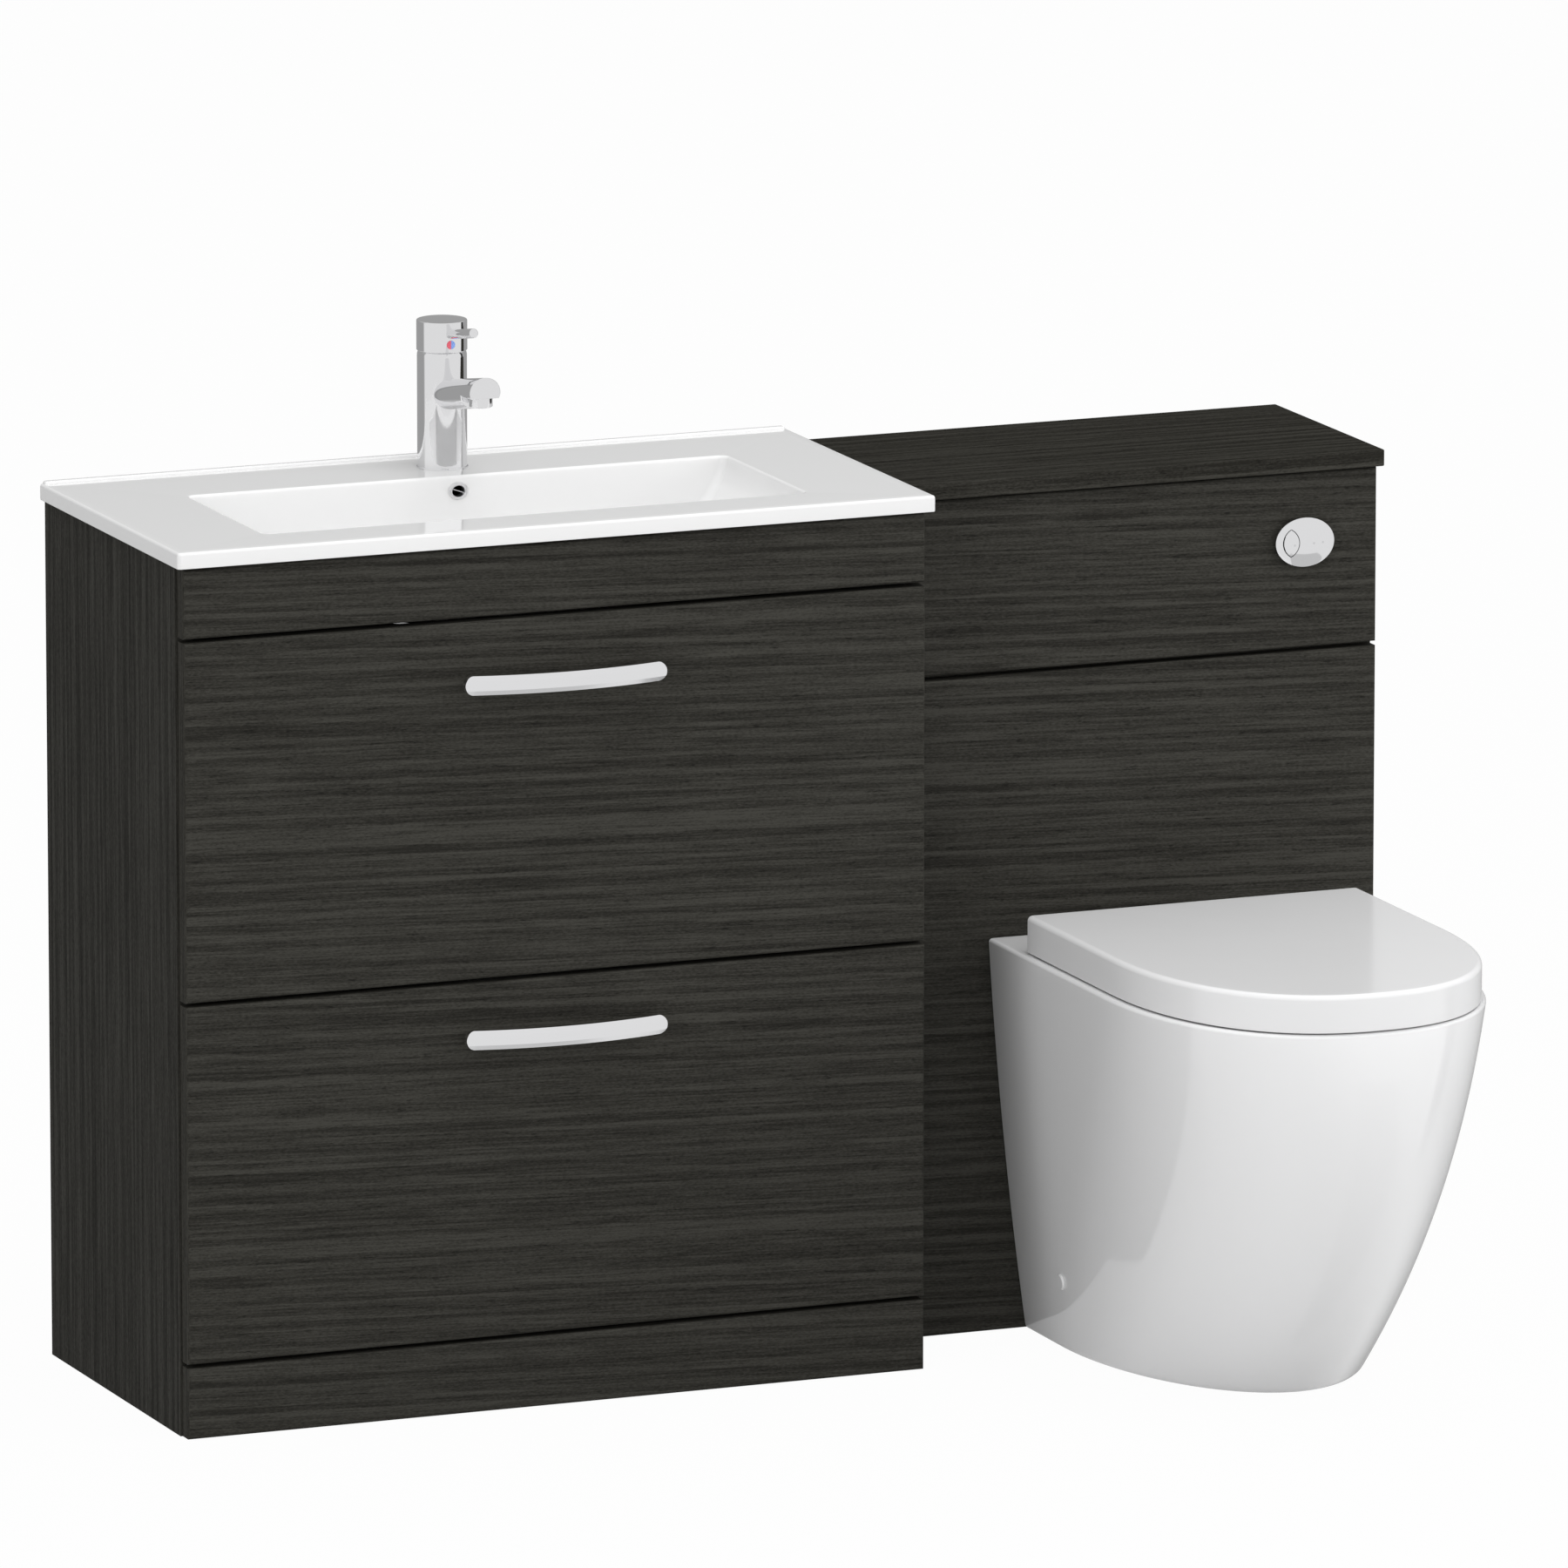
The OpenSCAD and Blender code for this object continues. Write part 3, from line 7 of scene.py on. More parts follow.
# %% Load the frame
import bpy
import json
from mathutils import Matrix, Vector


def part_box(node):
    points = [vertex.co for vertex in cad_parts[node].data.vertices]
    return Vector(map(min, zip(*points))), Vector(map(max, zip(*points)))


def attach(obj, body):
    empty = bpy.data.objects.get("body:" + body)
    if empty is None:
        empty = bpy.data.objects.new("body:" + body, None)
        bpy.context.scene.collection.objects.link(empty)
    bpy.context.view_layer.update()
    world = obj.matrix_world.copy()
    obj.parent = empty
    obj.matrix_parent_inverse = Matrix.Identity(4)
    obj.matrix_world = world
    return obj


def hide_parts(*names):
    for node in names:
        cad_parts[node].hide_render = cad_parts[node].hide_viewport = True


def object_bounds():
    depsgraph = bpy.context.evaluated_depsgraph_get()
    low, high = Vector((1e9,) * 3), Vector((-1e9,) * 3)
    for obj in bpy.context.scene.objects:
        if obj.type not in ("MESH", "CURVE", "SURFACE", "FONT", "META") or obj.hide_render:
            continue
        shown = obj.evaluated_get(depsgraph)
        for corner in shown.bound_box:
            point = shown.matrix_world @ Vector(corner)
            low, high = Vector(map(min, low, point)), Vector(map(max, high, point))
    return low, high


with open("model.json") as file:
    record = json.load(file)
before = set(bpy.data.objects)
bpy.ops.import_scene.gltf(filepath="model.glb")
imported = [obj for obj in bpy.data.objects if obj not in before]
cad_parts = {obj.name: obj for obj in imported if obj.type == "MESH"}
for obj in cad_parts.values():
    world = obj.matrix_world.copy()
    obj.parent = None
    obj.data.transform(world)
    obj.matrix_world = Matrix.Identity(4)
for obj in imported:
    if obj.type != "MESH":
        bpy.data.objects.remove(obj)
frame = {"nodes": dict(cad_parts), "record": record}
cad_low, cad_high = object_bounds()

# %% Other modules, and millimetres as the working unit
import bpy, bmesh, json
from math import sin, cos, tan, asin, radians, pi, sqrt
from mathutils import Vector, Matrix

MM = 0.001
scene = bpy.context.scene
WALL = cad_high.y


def place(x, d, z):
    """A point at x, at distance d forward from the wall, and at height z, all in millimetres."""
    return Vector((x * MM, WALL - d * MM, z * MM))


print("the wall is at y =", round(WALL, 5))

# %% [markdown]
# ## Camera
# The photograph was taken with a very long lens, from the left and a little above. A long lens keeps parallel edges
# nearly parallel, so the camera stands 18 metres away and sees only a few degrees.

# %% Camera
YAW, PITCH, DISTANCE = 22.204, 11.723, 18.210  # degrees and metres
LENS, SENSOR = 406.0, 36.0  # millimetres
look_at = place(130.0, 0, 530.4)
forward = Vector((sin(radians(YAW)) * cos(radians(PITCH)),
                  cos(radians(YAW)) * cos(radians(PITCH)), -sin(radians(PITCH))))
camera_data = bpy.data.cameras.new("camera")
camera_data.lens, camera_data.sensor_width = LENS, SENSOR
camera_data.clip_start, camera_data.clip_end = 1.0, 60.0
camera = bpy.data.objects.new("camera", camera_data)
scene.collection.objects.link(camera)
camera.location = look_at - forward * DISTANCE
camera.rotation_mode = "QUATERNION"
camera.rotation_quaternion = forward.to_track_quat("-Z", "Y")
scene.camera = camera
scene.view_settings.view_transform = "Standard"
print("camera at", [round(v, 2) for v in camera.location])

# %% [markdown]
# ## Light
# The photograph is lit softly from the right and a little from above: the pan is pale on its right and falls off to
# a mid grey on its left. Four large soft boxes do that without hard shadows. They are hidden from mirror rays,
# because the photograph shows no lamp in the chrome; what shines there is the room, which is built in the next step.

# %% Lamps


def area_light(name, at, toward, size, power):
    """A square soft box of the given size in metres, aimed at a point."""
    data = bpy.data.lights.new(name, "AREA")
    data.shape, data.size, data.energy = "SQUARE", size, power
    lamp = bpy.data.objects.new(name, data)
    scene.collection.objects.link(lamp)
    lamp.location = at
    lamp.rotation_mode = "QUATERNION"
    lamp.rotation_quaternion = (Vector(toward) - Vector(at)).to_track_quat("-Z", "Y")
    lamp.visible_glossy = False
    return lamp


area_light("key soft box", (4.3, -1.9, 1.7), (0.3, 0, 0.5), 2.4, 72)
area_light("front soft box", (-0.8, -4.6, 2.0), (0, 0, 0.6), 2.6, 29)
area_light("left soft box", (-4.0, -2.2, 1.6), (0, 0, 0.5), 2.4, 36)
area_light("top soft box", (0.2, -0.8, 4.2), (0, 0, 0.5), 2.2, 55)

# %% [markdown]
# ## World
# Chrome shows whatever stands around it, so the world is a plain grey room rather than one colour. Its front half,
# its ceiling and the floor straight below are bright, its back half is mid grey, and one narrow black upright stands
# at the right: the tap shows all three. Lower down lies a darker patch, which the handles and the flush plate mirror.
# Its edge is a height that changes with the direction. What the camera itself sees of the world is white.

# %% World: small helpers
world = bpy.data.worlds.new("studio")
scene.world = world
world.use_nodes = True
wt = world.node_tree
wt.nodes.clear()


def node(tree, kind, **values):
    """Adds a node and sets its properties and inputs by name."""
    made = tree.nodes.new(kind)
    for key, value in values.items():
        if key in made.inputs:
            made.inputs[key].default_value = value
        else:
            setattr(made, key, value)
    return made


def math_node(tree, operation, a, b=0.5, clamp=False):
    """One Math node; each operand is a socket or a number."""
    made = node(tree, "ShaderNodeMath", operation=operation, use_clamp=clamp)
    for index, operand in enumerate((a, b)):
        if isinstance(operand, (int, float)):
            made.inputs[index].default_value = operand
        else:
            tree.links.new(operand, made.inputs[index])
    return made.outputs[0]


def ramp(tree, fac, stops, interpolation="LINEAR"):
    """A colour ramp fed by a socket, with (position, grey or colour) stops."""
    made = tree.nodes.new("ShaderNodeValToRGB")
    made.color_ramp.interpolation = interpolation
    elements = made.color_ramp.elements
    while len(elements) < len(stops):
        elements.new(0.5)
    for element, (position, colour) in zip(elements, stops):
        element.position = position
        element.color = (colour,) * 3 + (1,) if isinstance(colour, (int, float)) else tuple(colour) + (1,)
    tree.links.new(fac, made.inputs[0])
    return made.outputs[0]


def mixed(tree, factor, a, b, blend="MIX"):
    """Mixes two colours; each one is a socket or a colour."""
    made = node(tree, "ShaderNodeMix", data_type="RGBA", blend_type=blend)
    for label, value in (("Factor", factor), ("A", a), ("B", b)):
        if isinstance(value, bpy.types.NodeSocket):
            tree.links.new(value, made.inputs[label])
        else:
            made.inputs[label].default_value = (*value, 1)
    return made.outputs["Result"]


print("helpers for node trees are ready")

# %% World: the room by direction
BRIGHT, BACK, BLACK, PATCH = 0.84, 0.37, 0.02, 0.60
EDGE_SHARPNESS = 60.0
coords = node(wt, "ShaderNodeTexCoord")
split = node(wt, "ShaderNodeSeparateXYZ")
wt.links.new(coords.outputs["Generated"], split.inputs[0])
x, y, z = (split.outputs[axis] for axis in "XYZ")
turn = math_node(wt, "ARCTAN2", x, math_node(wt, "MULTIPLY", y, -1.0))
round_room = math_node(wt, "ADD", math_node(wt, "DIVIDE", turn, 2 * pi), 0.5)
walls = ramp(wt, round_room, [(0.0, BACK), (0.185, BACK), (0.205, BRIGHT), (0.712, BRIGHT), (0.717, BLACK),
                              (0.745, BLACK), (0.752, BACK + 0.01), (1.0, BACK)])
rise = math_node(wt, "ADD", math_node(wt, "MULTIPLY", z, 0.5), 0.5)
above_below = ramp(wt, rise, [(0.0, 1.0), (0.2, 1.0), (0.3, 0.0), (0.66, 0.0), (0.90, 1.0)])
edge = ramp(wt, round_room, [(0.0, 1.0), (0.535, 1.0), (0.5375, 0.336), (0.590, 0.336), (0.706, 0.887),
                             (0.73, 1.0)])
depth_below = math_node(wt, "SUBTRACT", math_node(wt, "MULTIPLY", z, -1.0), edge)
below = math_node(wt, "MULTIPLY", depth_below, EDGE_SHARPNESS, clamp=True)
room = walls
for mask, grey in ((above_below, BRIGHT), (below, PATCH)):
    room = mixed(wt, mask, room, (grey,) * 3)
print("room:", len(wt.nodes), "nodes")

# %% World: white behind the object
background = node(wt, "ShaderNodeBackground", Strength=1.0)
wt.links.new(room, background.inputs["Color"])
seen = node(wt, "ShaderNodeBackground", Strength=1.0)
seen.inputs["Color"].default_value = (1, 1, 1, 1)
rays = node(wt, "ShaderNodeLightPath")
which = node(wt, "ShaderNodeMixShader")
wt.links.new(rays.outputs["Is Camera Ray"], which.inputs[0])
wt.links.new(background.outputs[0], which.inputs[1])
wt.links.new(seen.outputs[0], which.inputs[2])
out = node(wt, "ShaderNodeOutputWorld")
wt.links.new(which.outputs[0], out.inputs[0])
print("world:", len(wt.nodes), "nodes")

# %% [markdown]
# ## Finishes
# The first thing every finish needs is a Principled shader with plain values. A short helper makes one, and returns
# the tree so that each finish can add its own pattern.

# %% A plain finish to build on


def new_material(name, **values):
    """A Principled material with constants set on the shader's own sockets."""
    made = bpy.data.materials.new(name)
    made.use_nodes = True
    tree = made.node_tree
    shader = tree.nodes["Principled BSDF"]
    for key, value in values.items():
        socket = shader.inputs[key.replace("_", " ")]
        socket.default_value = tuple(value) + (1,) if isinstance(value, (tuple, list)) else value
    return made, tree, shader


def new_group(name, inputs, outputs):
    """A shader node group with named sockets, and its input and output nodes."""
    group = bpy.data.node_groups.new(name, "ShaderNodeTree")
    for label, kind, value in inputs:
        socket = group.interface.new_socket(label, in_out="INPUT", socket_type=kind)
        if value is not None:
            socket.default_value = value
    for label, kind in outputs:
        group.interface.new_socket(label, in_out="OUTPUT", socket_type=kind)
    return group, group.nodes.new("NodeGroupInput"), group.nodes.new("NodeGroupOutput")


def use_group(tree, group, **values):
    """Places a group in a material with its own values."""
    made = tree.nodes.new("ShaderNodeGroup")
    made.node_tree = group
    for key, value in values.items():
        made.inputs[key.replace("_", " ")].default_value = value
    return made


def noise(tree, vector, scale, detail=2.0, roughness=0.5):
    """A noise texture on a vector socket; returns its value."""
    made = node(tree, "ShaderNodeTexNoise", Scale=scale, Detail=detail, Roughness=roughness)
    tree.links.new(vector, made.inputs["Vector"])
    return made.outputs[0]


def bump(tree, shader, height, strength, distance):
    """A Bump node from a height in metres to the shader's normal."""
    made = node(tree, "ShaderNodeBump", Strength=strength, Distance=distance)
    tree.links.new(height, made.inputs["Height"])
    tree.links.new(made.outputs[0], shader.inputs["Normal"])


print("helpers for finishes are ready")

# %% [markdown]
# ## Wood grain
# The boards are faced with a dark grey laminate printed with a straight grain: soft bands about 17 mm apart, some
# strong and some hardly there. Slow noise makes their spacing uneven, and a noise per band sets its strength. Fine
# fibres, grit and short dark flecks lie over them. One node group makes it all from a coordinate whose X runs
# along the grain.

# %% Grain group: a coordinate across the grain that wanders
BAND_SPACING = 0.017
grain, g_in, g_out = new_group(
    "wood grain", [("Vector", "NodeSocketVector", None), ("Spacing", "NodeSocketFloat", BAND_SPACING)],
    [("Tone", "NodeSocketFloat"), ("Flecks", "NodeSocketFloat"), ("Height", "NodeSocketFloat")])


def stretched(tree, vector, scale):
    """The vector multiplied by three scales."""
    made = node(tree, "ShaderNodeVectorMath", operation="MULTIPLY")
    tree.links.new(vector, made.inputs[0])
    made.inputs[1].default_value = scale
    return made.outputs[0]


def centred(tree, value, gain):
    """A noise value moved to lie about zero, times a gain."""
    return math_node(tree, "MULTIPLY", math_node(tree, "SUBTRACT", value, 0.5), gain)


parts = node(grain, "ShaderNodeSeparateXYZ")
grain.links.new(g_in.outputs["Vector"], parts.inputs[0])
width = math_node(grain, "ADD", parts.outputs["Y"], parts.outputs["Z"])
phase = math_node(grain, "DIVIDE", width, g_in.outputs["Spacing"])
for scale, detail, gain in (((0.3, 4, 4), 1, 0.9), ((0.3, 30, 30), 1, 2.4), ((20, 190, 190), 2, 0.3)):
    wander = noise(grain, stretched(grain, g_in.outputs["Vector"], scale), 1.0, detail, 0.6)
    phase = math_node(grain, "ADD", phase, centred(grain, wander, gain))
print("grain group:", len(grain.nodes), "nodes so far")

# %% Grain group: bands, each with its own strength
wave = math_node(grain, "SINE", math_node(grain, "MULTIPLY", phase, 2 * pi))
steep = math_node(grain, "MULTIPLY", wave, 1.9)
wave = math_node(grain, "MINIMUM", math_node(grain, "MAXIMUM", steep, -1.0), 1.0)
number = node(grain, "ShaderNodeCombineXYZ")
grain.links.new(math_node(grain, "MULTIPLY", parts.outputs["X"], 1.8), number.inputs["X"])
grain.links.new(math_node(grain, "MULTIPLY", phase, 0.9), number.inputs["Y"])
chance = math_node(grain, "SUBTRACT", noise(grain, number.outputs[0], 1.0, 1), 0.30, clamp=True)
strength = math_node(grain, "MULTIPLY", chance, 0.80)
tone = math_node(grain, "ADD", 0.5, math_node(grain, "MULTIPLY", wave, strength))
print("bands:", len(grain.nodes), "nodes so far")

# %% Grain group: patches, fibres, grit and flecks
grit = noise(grain, stretched(grain, g_in.outputs["Vector"], (260, 1000, 1000)), 1.0, 1)
fibres = noise(grain, stretched(grain, g_in.outputs["Vector"], (12, 560, 560)), 1.0, 2, 0.6)
patches = noise(grain, stretched(grain, g_in.outputs["Vector"], (2.4, 14, 14)), 1.0, 2)
for layer, gain in ((patches, 0.42), (fibres, 1.8), (grit, 1.3)):
    tone = math_node(grain, "ADD", tone, centred(grain, layer, gain))
short = noise(grain, stretched(grain, g_in.outputs["Vector"], (75, 430, 430)), 1.0, 1)
dashes = math_node(grain, "MULTIPLY", math_node(grain, "SUBTRACT", short, 0.61), 9.0, clamp=True)
flecks = math_node(grain, "MULTIPLY", dashes, math_node(grain, "SUBTRACT", 0.95, tone, clamp=True))
relief = math_node(grain, "ADD", math_node(grain, "MULTIPLY", fibres, 0.5), math_node(grain, "MULTIPLY", grit, 0.5))
for socket, name in ((tone, "Tone"), (flecks, "Flecks"), (relief, "Height")):
    grain.links.new(socket, g_out.inputs[name])
print("grain group:", len(grain.nodes), "nodes")

# %% [markdown]
# ## Surface wear
# No surface in a bathroom is perfectly even. A second group gives every gloss finish a slow change in roughness, as
# wiping leaves it, and a very fine unevenness for the bump.

# %% Wipe marks group
wiped, w_in, w_out = new_group(
    "wiped surface", [("Roughness", "NodeSocketFloat", 0.1), ("Spread", "NodeSocketFloat", 0.05),
                      ("Size", "NodeSocketFloat", 12.0)],
    [("Roughness", "NodeSocketFloat"), ("Height", "NodeSocketFloat")])
w_coords = node(wiped, "ShaderNodeTexCoord")
scaled = node(wiped, "ShaderNodeVectorMath", operation="SCALE")
wiped.links.new(w_coords.outputs["Object"], scaled.inputs[0])
wiped.links.new(w_in.outputs["Size"], scaled.inputs["Scale"])
slow = noise(wiped, scaled.outputs[0], 1.0, 3, 0.55)
fine = noise(wiped, scaled.outputs[0], 14.0, 2, 0.5)
offset = math_node(wiped, "MULTIPLY", math_node(wiped, "SUBTRACT", slow, 0.5), w_in.outputs["Spread"])
wiped.links.new(math_node(wiped, "ADD", w_in.outputs["Roughness"], offset, clamp=True), w_out.inputs["Roughness"])
wiped.links.new(math_node(wiped, "ADD", slow, math_node(wiped, "MULTIPLY", fine, 0.2)),
                w_out.inputs["Height"])
print("wipe group:", len(wiped.nodes), "nodes")

# %% [markdown]
# ## Laminate
# The grain runs across the fronts and up the gables. A board's ends carry an edging strip whose grain runs along the
# edge: the faces that look sideways are told apart by their normal, and read the grain turned upright. The same
# normal dims the faces that look up: this is painted shade, which makes the flat top of the cistern unit darker than
# its front edge. Each laminate is also made lighter or darker as a whole: painted light on the fronts and the top,
# painted shade on the gables.

# %% Laminate, with the grain along a chosen axis
UPRIGHT = (0, radians(90), 0)
FACING = 0.7  # a face looks along an axis when its normal is longer than this on it
BUMP_STRENGTH = 0.25


def laminate(name, turn, shift=(0, 0, 0), painted_light_gain=1.0, level_face_painted_shade=1.0, sheen=0.05):
    """Dark grey wood laminate; turn brings the grain's direction onto X. The gain after shift scales every grey:
    above one it is painted light, below one painted shading. The next value darkens the faces that look up, also as
    painted shading.
    """
    made, tree, shader = new_material(name, Roughness=0.5, Specular_IOR_Level=sheen)
    place_on = node(tree, "ShaderNodeTexCoord")
    ways = []
    for rotation in (turn, UPRIGHT):
        mapping = node(tree, "ShaderNodeMapping")
        mapping.inputs["Rotation"].default_value = rotation
        mapping.inputs["Location"].default_value = shift
        tree.links.new(place_on.outputs["Object"], mapping.inputs["Vector"])
        ways.append(mapping.outputs[0])
    facing = node(tree, "ShaderNodeSeparateXYZ")
    tree.links.new(place_on.outputs["Normal"], facing.inputs[0])
    sideways = math_node(tree, "GREATER_THAN", math_node(tree, "ABSOLUTE", facing.outputs["X"]), FACING)
    level_faces_shade_mask = math_node(tree, "GREATER_THAN", facing.outputs["Z"], FACING)
    choice = node(tree, "ShaderNodeMix", data_type="VECTOR")
    pattern = use_group(tree, grain, Spacing=BAND_SPACING)
    # painted light or painted shade: every grey of the grain is scaled by one gain for each board
    colour = ramp(tree, pattern.outputs["Tone"], [
        (position, tuple(painted_light_gain * c for c in grey)) for position, grey in (
            (0.0, (0.0162, 0.0155, 0.0132)), (0.5, (0.0287, 0.0276, 0.0237)), (1.0, (0.0444, 0.0430, 0.0374)))])
    flecks = math_node(tree, "MULTIPLY", pattern.outputs["Flecks"], 0.9)
    flecked = mixed(tree, flecks, colour, (0.0100, 0.0098, 0.0084))
    # painted shade: the faces that look up are multiplied by a darker tone
    with_painted_shade = mixed(tree, level_faces_shade_mask, flecked, (level_face_painted_shade,) * 3, "MULTIPLY")
    rough = ramp(tree, pattern.outputs["Tone"], [(0.0, 0.66), (1.0, 0.5)])
    for source, target in ((sideways, choice.inputs["Factor"]), (ways[0], choice.inputs["A"]),
                           (ways[1], choice.inputs["B"]), (choice.outputs["Result"], pattern.inputs["Vector"]),
                           (with_painted_shade, shader.inputs["Base Color"]), (rough, shader.inputs["Roughness"])):
        tree.links.new(source, target)
    bump(tree, shader, pattern.outputs["Height"], BUMP_STRENGTH, 0.00012)
    return made


# The fourth number is painted light or painted shade on the whole laminate: brighter on the fronts and the top,
# darker on the gables. The fifth is painted shade on the faces of the top that look up.
laminate_across = laminate("laminate, grain across", (0, radians(-2.2), 0), (0, 0, 0), 1.11)
laminate_upright = laminate("laminate, grain upright", UPRIGHT, (0.37, 0.11, 0), 0.88)
laminate_top = laminate("laminate of the top", (0, 0, 0), (0.2, 0.03, 0.05), 1.11, 0.79, 0.0)
print("laminate:", laminate_across.name + ";", laminate_upright.name + ";", laminate_top.name)

# %% [markdown]
# ## Glazed ware, plastic and metal
# Vitreous china is a white clay body under clear glaze: a Principled shader with a low roughness and a coat gives
# both. The seat's plastic is a touch duller. Chrome is a plain metal whose roughness alone is varied.

# %% Gloss finishes
BASIN_WHITE, CHROME_TONE = (0.775, 0.775, 0.775), (0.83, 0.83, 0.84)


def glossy(name, colour, rough, spread, size, bump_distance, **values):
    """A smooth finish with wipe marks and a trace of unevenness."""
    made, tree, shader = new_material(name, Base_Color=colour, Roughness=rough, **values)
    marks = use_group(tree, wiped, Roughness=rough, Spread=spread, Size=size)
    tree.links.new(marks.outputs["Roughness"], shader.inputs["Roughness"])
    bump(tree, shader, marks.outputs["Height"], BUMP_STRENGTH, bump_distance)
    return made


basin_glaze = glossy("basin glaze", BASIN_WHITE, 0.08, 0.05, 9, 0.00012,
                     Coat_Weight=0.5, Coat_Roughness=0.04)
pan_glaze = glossy("pan glaze", (0.82, 0.82, 0.825), 0.10, 0.05, 9, 0.00012,
                   Coat_Weight=0.5, Coat_Roughness=0.04)
seat_white = glossy("seat plastic", (0.77, 0.77, 0.775), 0.18, 0.06, 14, 0.00008, Coat_Weight=0.2)
chrome = glossy("chrome", CHROME_TONE, 0.05, 0.03, 20, 0.00002, Metallic=1.0)
satin_chrome = glossy("satin chrome", (0.85, 0.85, 0.86), 0.14, 0.04, 20, 0.00001, Metallic=1.0)
brushed_chrome = glossy("brushed chrome", (0.80, 0.80, 0.81), 0.34, 0.06, 30, 0.00002, Metallic=1.0)
steel = glossy("runner steel", (0.56, 0.57, 0.58), 0.32, 0.15, 30, 0.00005, Metallic=1.0)
side_paint = glossy("drawer side paint", (0.42, 0.43, 0.44), 0.42, 0.1, 25, 0.00005)
white_board = glossy("white board", (0.62, 0.62, 0.60), 0.45, 0.12, 18, 0.0001)
tank_plastic = glossy("tank plastic", (0.68, 0.68, 0.66), 0.4, 0.12, 16, 0.0001)
blue_plastic = glossy("blue plastic", (0.05, 0.16, 0.38), 0.38, 0.1, 30, 0.0001)
rubber = glossy("rubber", (0.018, 0.018, 0.018), 0.6, 0.15, 40, 0.0001)
# painted shade: a near-black finish for the disc that darkens the overflow's throat
throat_painted_shade = glossy("painted shade in the overflow throat", (0.02, 0.02, 0.022), 0.4, 0.1, 40, 0.0001)
print("gloss finishes ready")

# %% The basin's underside is made dark with a painted shade: lit white, it would shine through the gap over the upper drawer
tree = basin_glaze.node_tree
facing = node(tree, "ShaderNodeSeparateXYZ")
tree.links.new(node(tree, "ShaderNodeTexCoord").outputs["Normal"], facing.inputs[0])
underside_shade_mask = math_node(tree, "LESS_THAN", facing.outputs["Z"], -0.3)
# painted shade: the faces that look down get a dark grey colour in place of the white glaze
under = mixed(tree, underside_shade_mask, BASIN_WHITE, (0.20, 0.19, 0.18))
tree.links.new(under, tree.nodes["Principled BSDF"].inputs["Base Color"])
print("basin glaze:", len(tree.nodes), "nodes")

# %% [markdown]
# ## Finishes by part
# The mark on the tap is one small disc in two colours, split at the tap's own axis. Every part of the CAD model then
# gets the finish that its record names, and the boards get the laminate whose grain runs their way.

# %% Hot and cold mark: red to the left of the tap's axis, blue to the right
tap_x = (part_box("tap_body")[0].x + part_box("tap_body")[1].x) / 2
mark_paint, tree, shader = new_material("hot and cold mark", Roughness=0.25)
mark_coords = node(tree, "ShaderNodeTexCoord")
mark_split = node(tree, "ShaderNodeSeparateXYZ")
tree.links.new(mark_coords.outputs["Object"], mark_split.inputs[0])
side = math_node(tree, "GREATER_THAN", mark_split.outputs["X"], tap_x)
halves = ramp(tree, side, [(0.0, (0.78, 0.12, 0.17)), (0.5, (0.22, 0.36, 0.78))], "CONSTANT")
tree.links.new(halves, shader.inputs["Base Color"])
print("mark split at x =", round(tap_x, 4))

# %% Finishes for the CAD nodes
slot_finish = {
    "white_board": white_board, "basin_ceramic": basin_glaze, "pan_ceramic": pan_glaze,
    "seat_plastic": seat_white, "chrome": chrome, "steel": steel, "side_metal": side_paint,
    "white_plastic": tank_plastic, "blue_plastic": blue_plastic, "rubber": rubber, "mark": mark_paint}
upright = {"vanity_left_gable", "vanity_right_gable", "wc_left_gable", "wc_right_gable"}
for part in frame["record"]["subparts"]:
    name, slot = part["node"], part["material_slot"]
    if slot == "grey_wood" or name in ("vanity_rails", "vanity_floor"):
        finish = laminate_upright if name in upright else laminate_top if name == "wc_top" else laminate_across
    else:
        finish = slot_finish[slot]
    mesh = frame["nodes"][name].data
    mesh.materials.clear()
    mesh.materials.append(finish)
frame["nodes"]["side_caps"].data.materials[0] = seat_white

# %% [markdown]
# ## Modelling helpers
# The ware is made the way a potter's former is: an outline is drawn once, and its loop of edges is extruded through
# a list of further outlines. Each vertex remembers its column, so it knows its place on the next outline.

# %% Loft through outlines


def cap(bm, loop):
    """Closes a loop of edges with one face."""
    bmesh.ops.contextual_create(bm, geom=loop)


def loft(bm, outlines, endless=False):
    """Extrudes a circle of edges through outlines of equal length; its ends are capped, or joined if endless."""
    column = bm.verts.layers.int.get("column") or bm.verts.layers.int.new("column")
    verts = bmesh.ops.create_circle(bm, segments=len(outlines[0]), radius=1)["verts"]
    for index, vert in enumerate(verts):
        vert[column] = index
        vert.co = outlines[0][index]
    first = list({edge for vert in verts for edge in vert.link_edges})
    loop = first
    for outline in outlines[1:]:
        grown = bmesh.ops.extrude_edge_only(bm, edges=loop)["geom"]
        new = {g for g in grown if isinstance(g, bmesh.types.BMVert)}
        loop = [g for g in grown if isinstance(g, bmesh.types.BMEdge) and set(g.verts) <= new]
        for vert in new:
            vert.co = outline[vert[column]]
    if endless:
        bmesh.ops.bridge_loops(bm, edges=first + loop)
    else:
        cap(bm, first)
        cap(bm, loop)


def rounded_block(bm, matrix, size, offset, segments):
    """A block with bevelled edges; its size and the bevel are in millimetres."""
    stretch = Matrix.Diagonal((*(v * MM for v in size), 1))
    verts = bmesh.ops.create_cube(bm, size=1, matrix=matrix @ stretch)["verts"]
    bmesh.ops.bevel(bm, geom=list({e for v in verts for e in v.link_edges}), offset=offset * MM,
                    offset_type="OFFSET", segments=segments, profile=0.5, affect="EDGES", clamp_overlap=True,
                    material=-1)


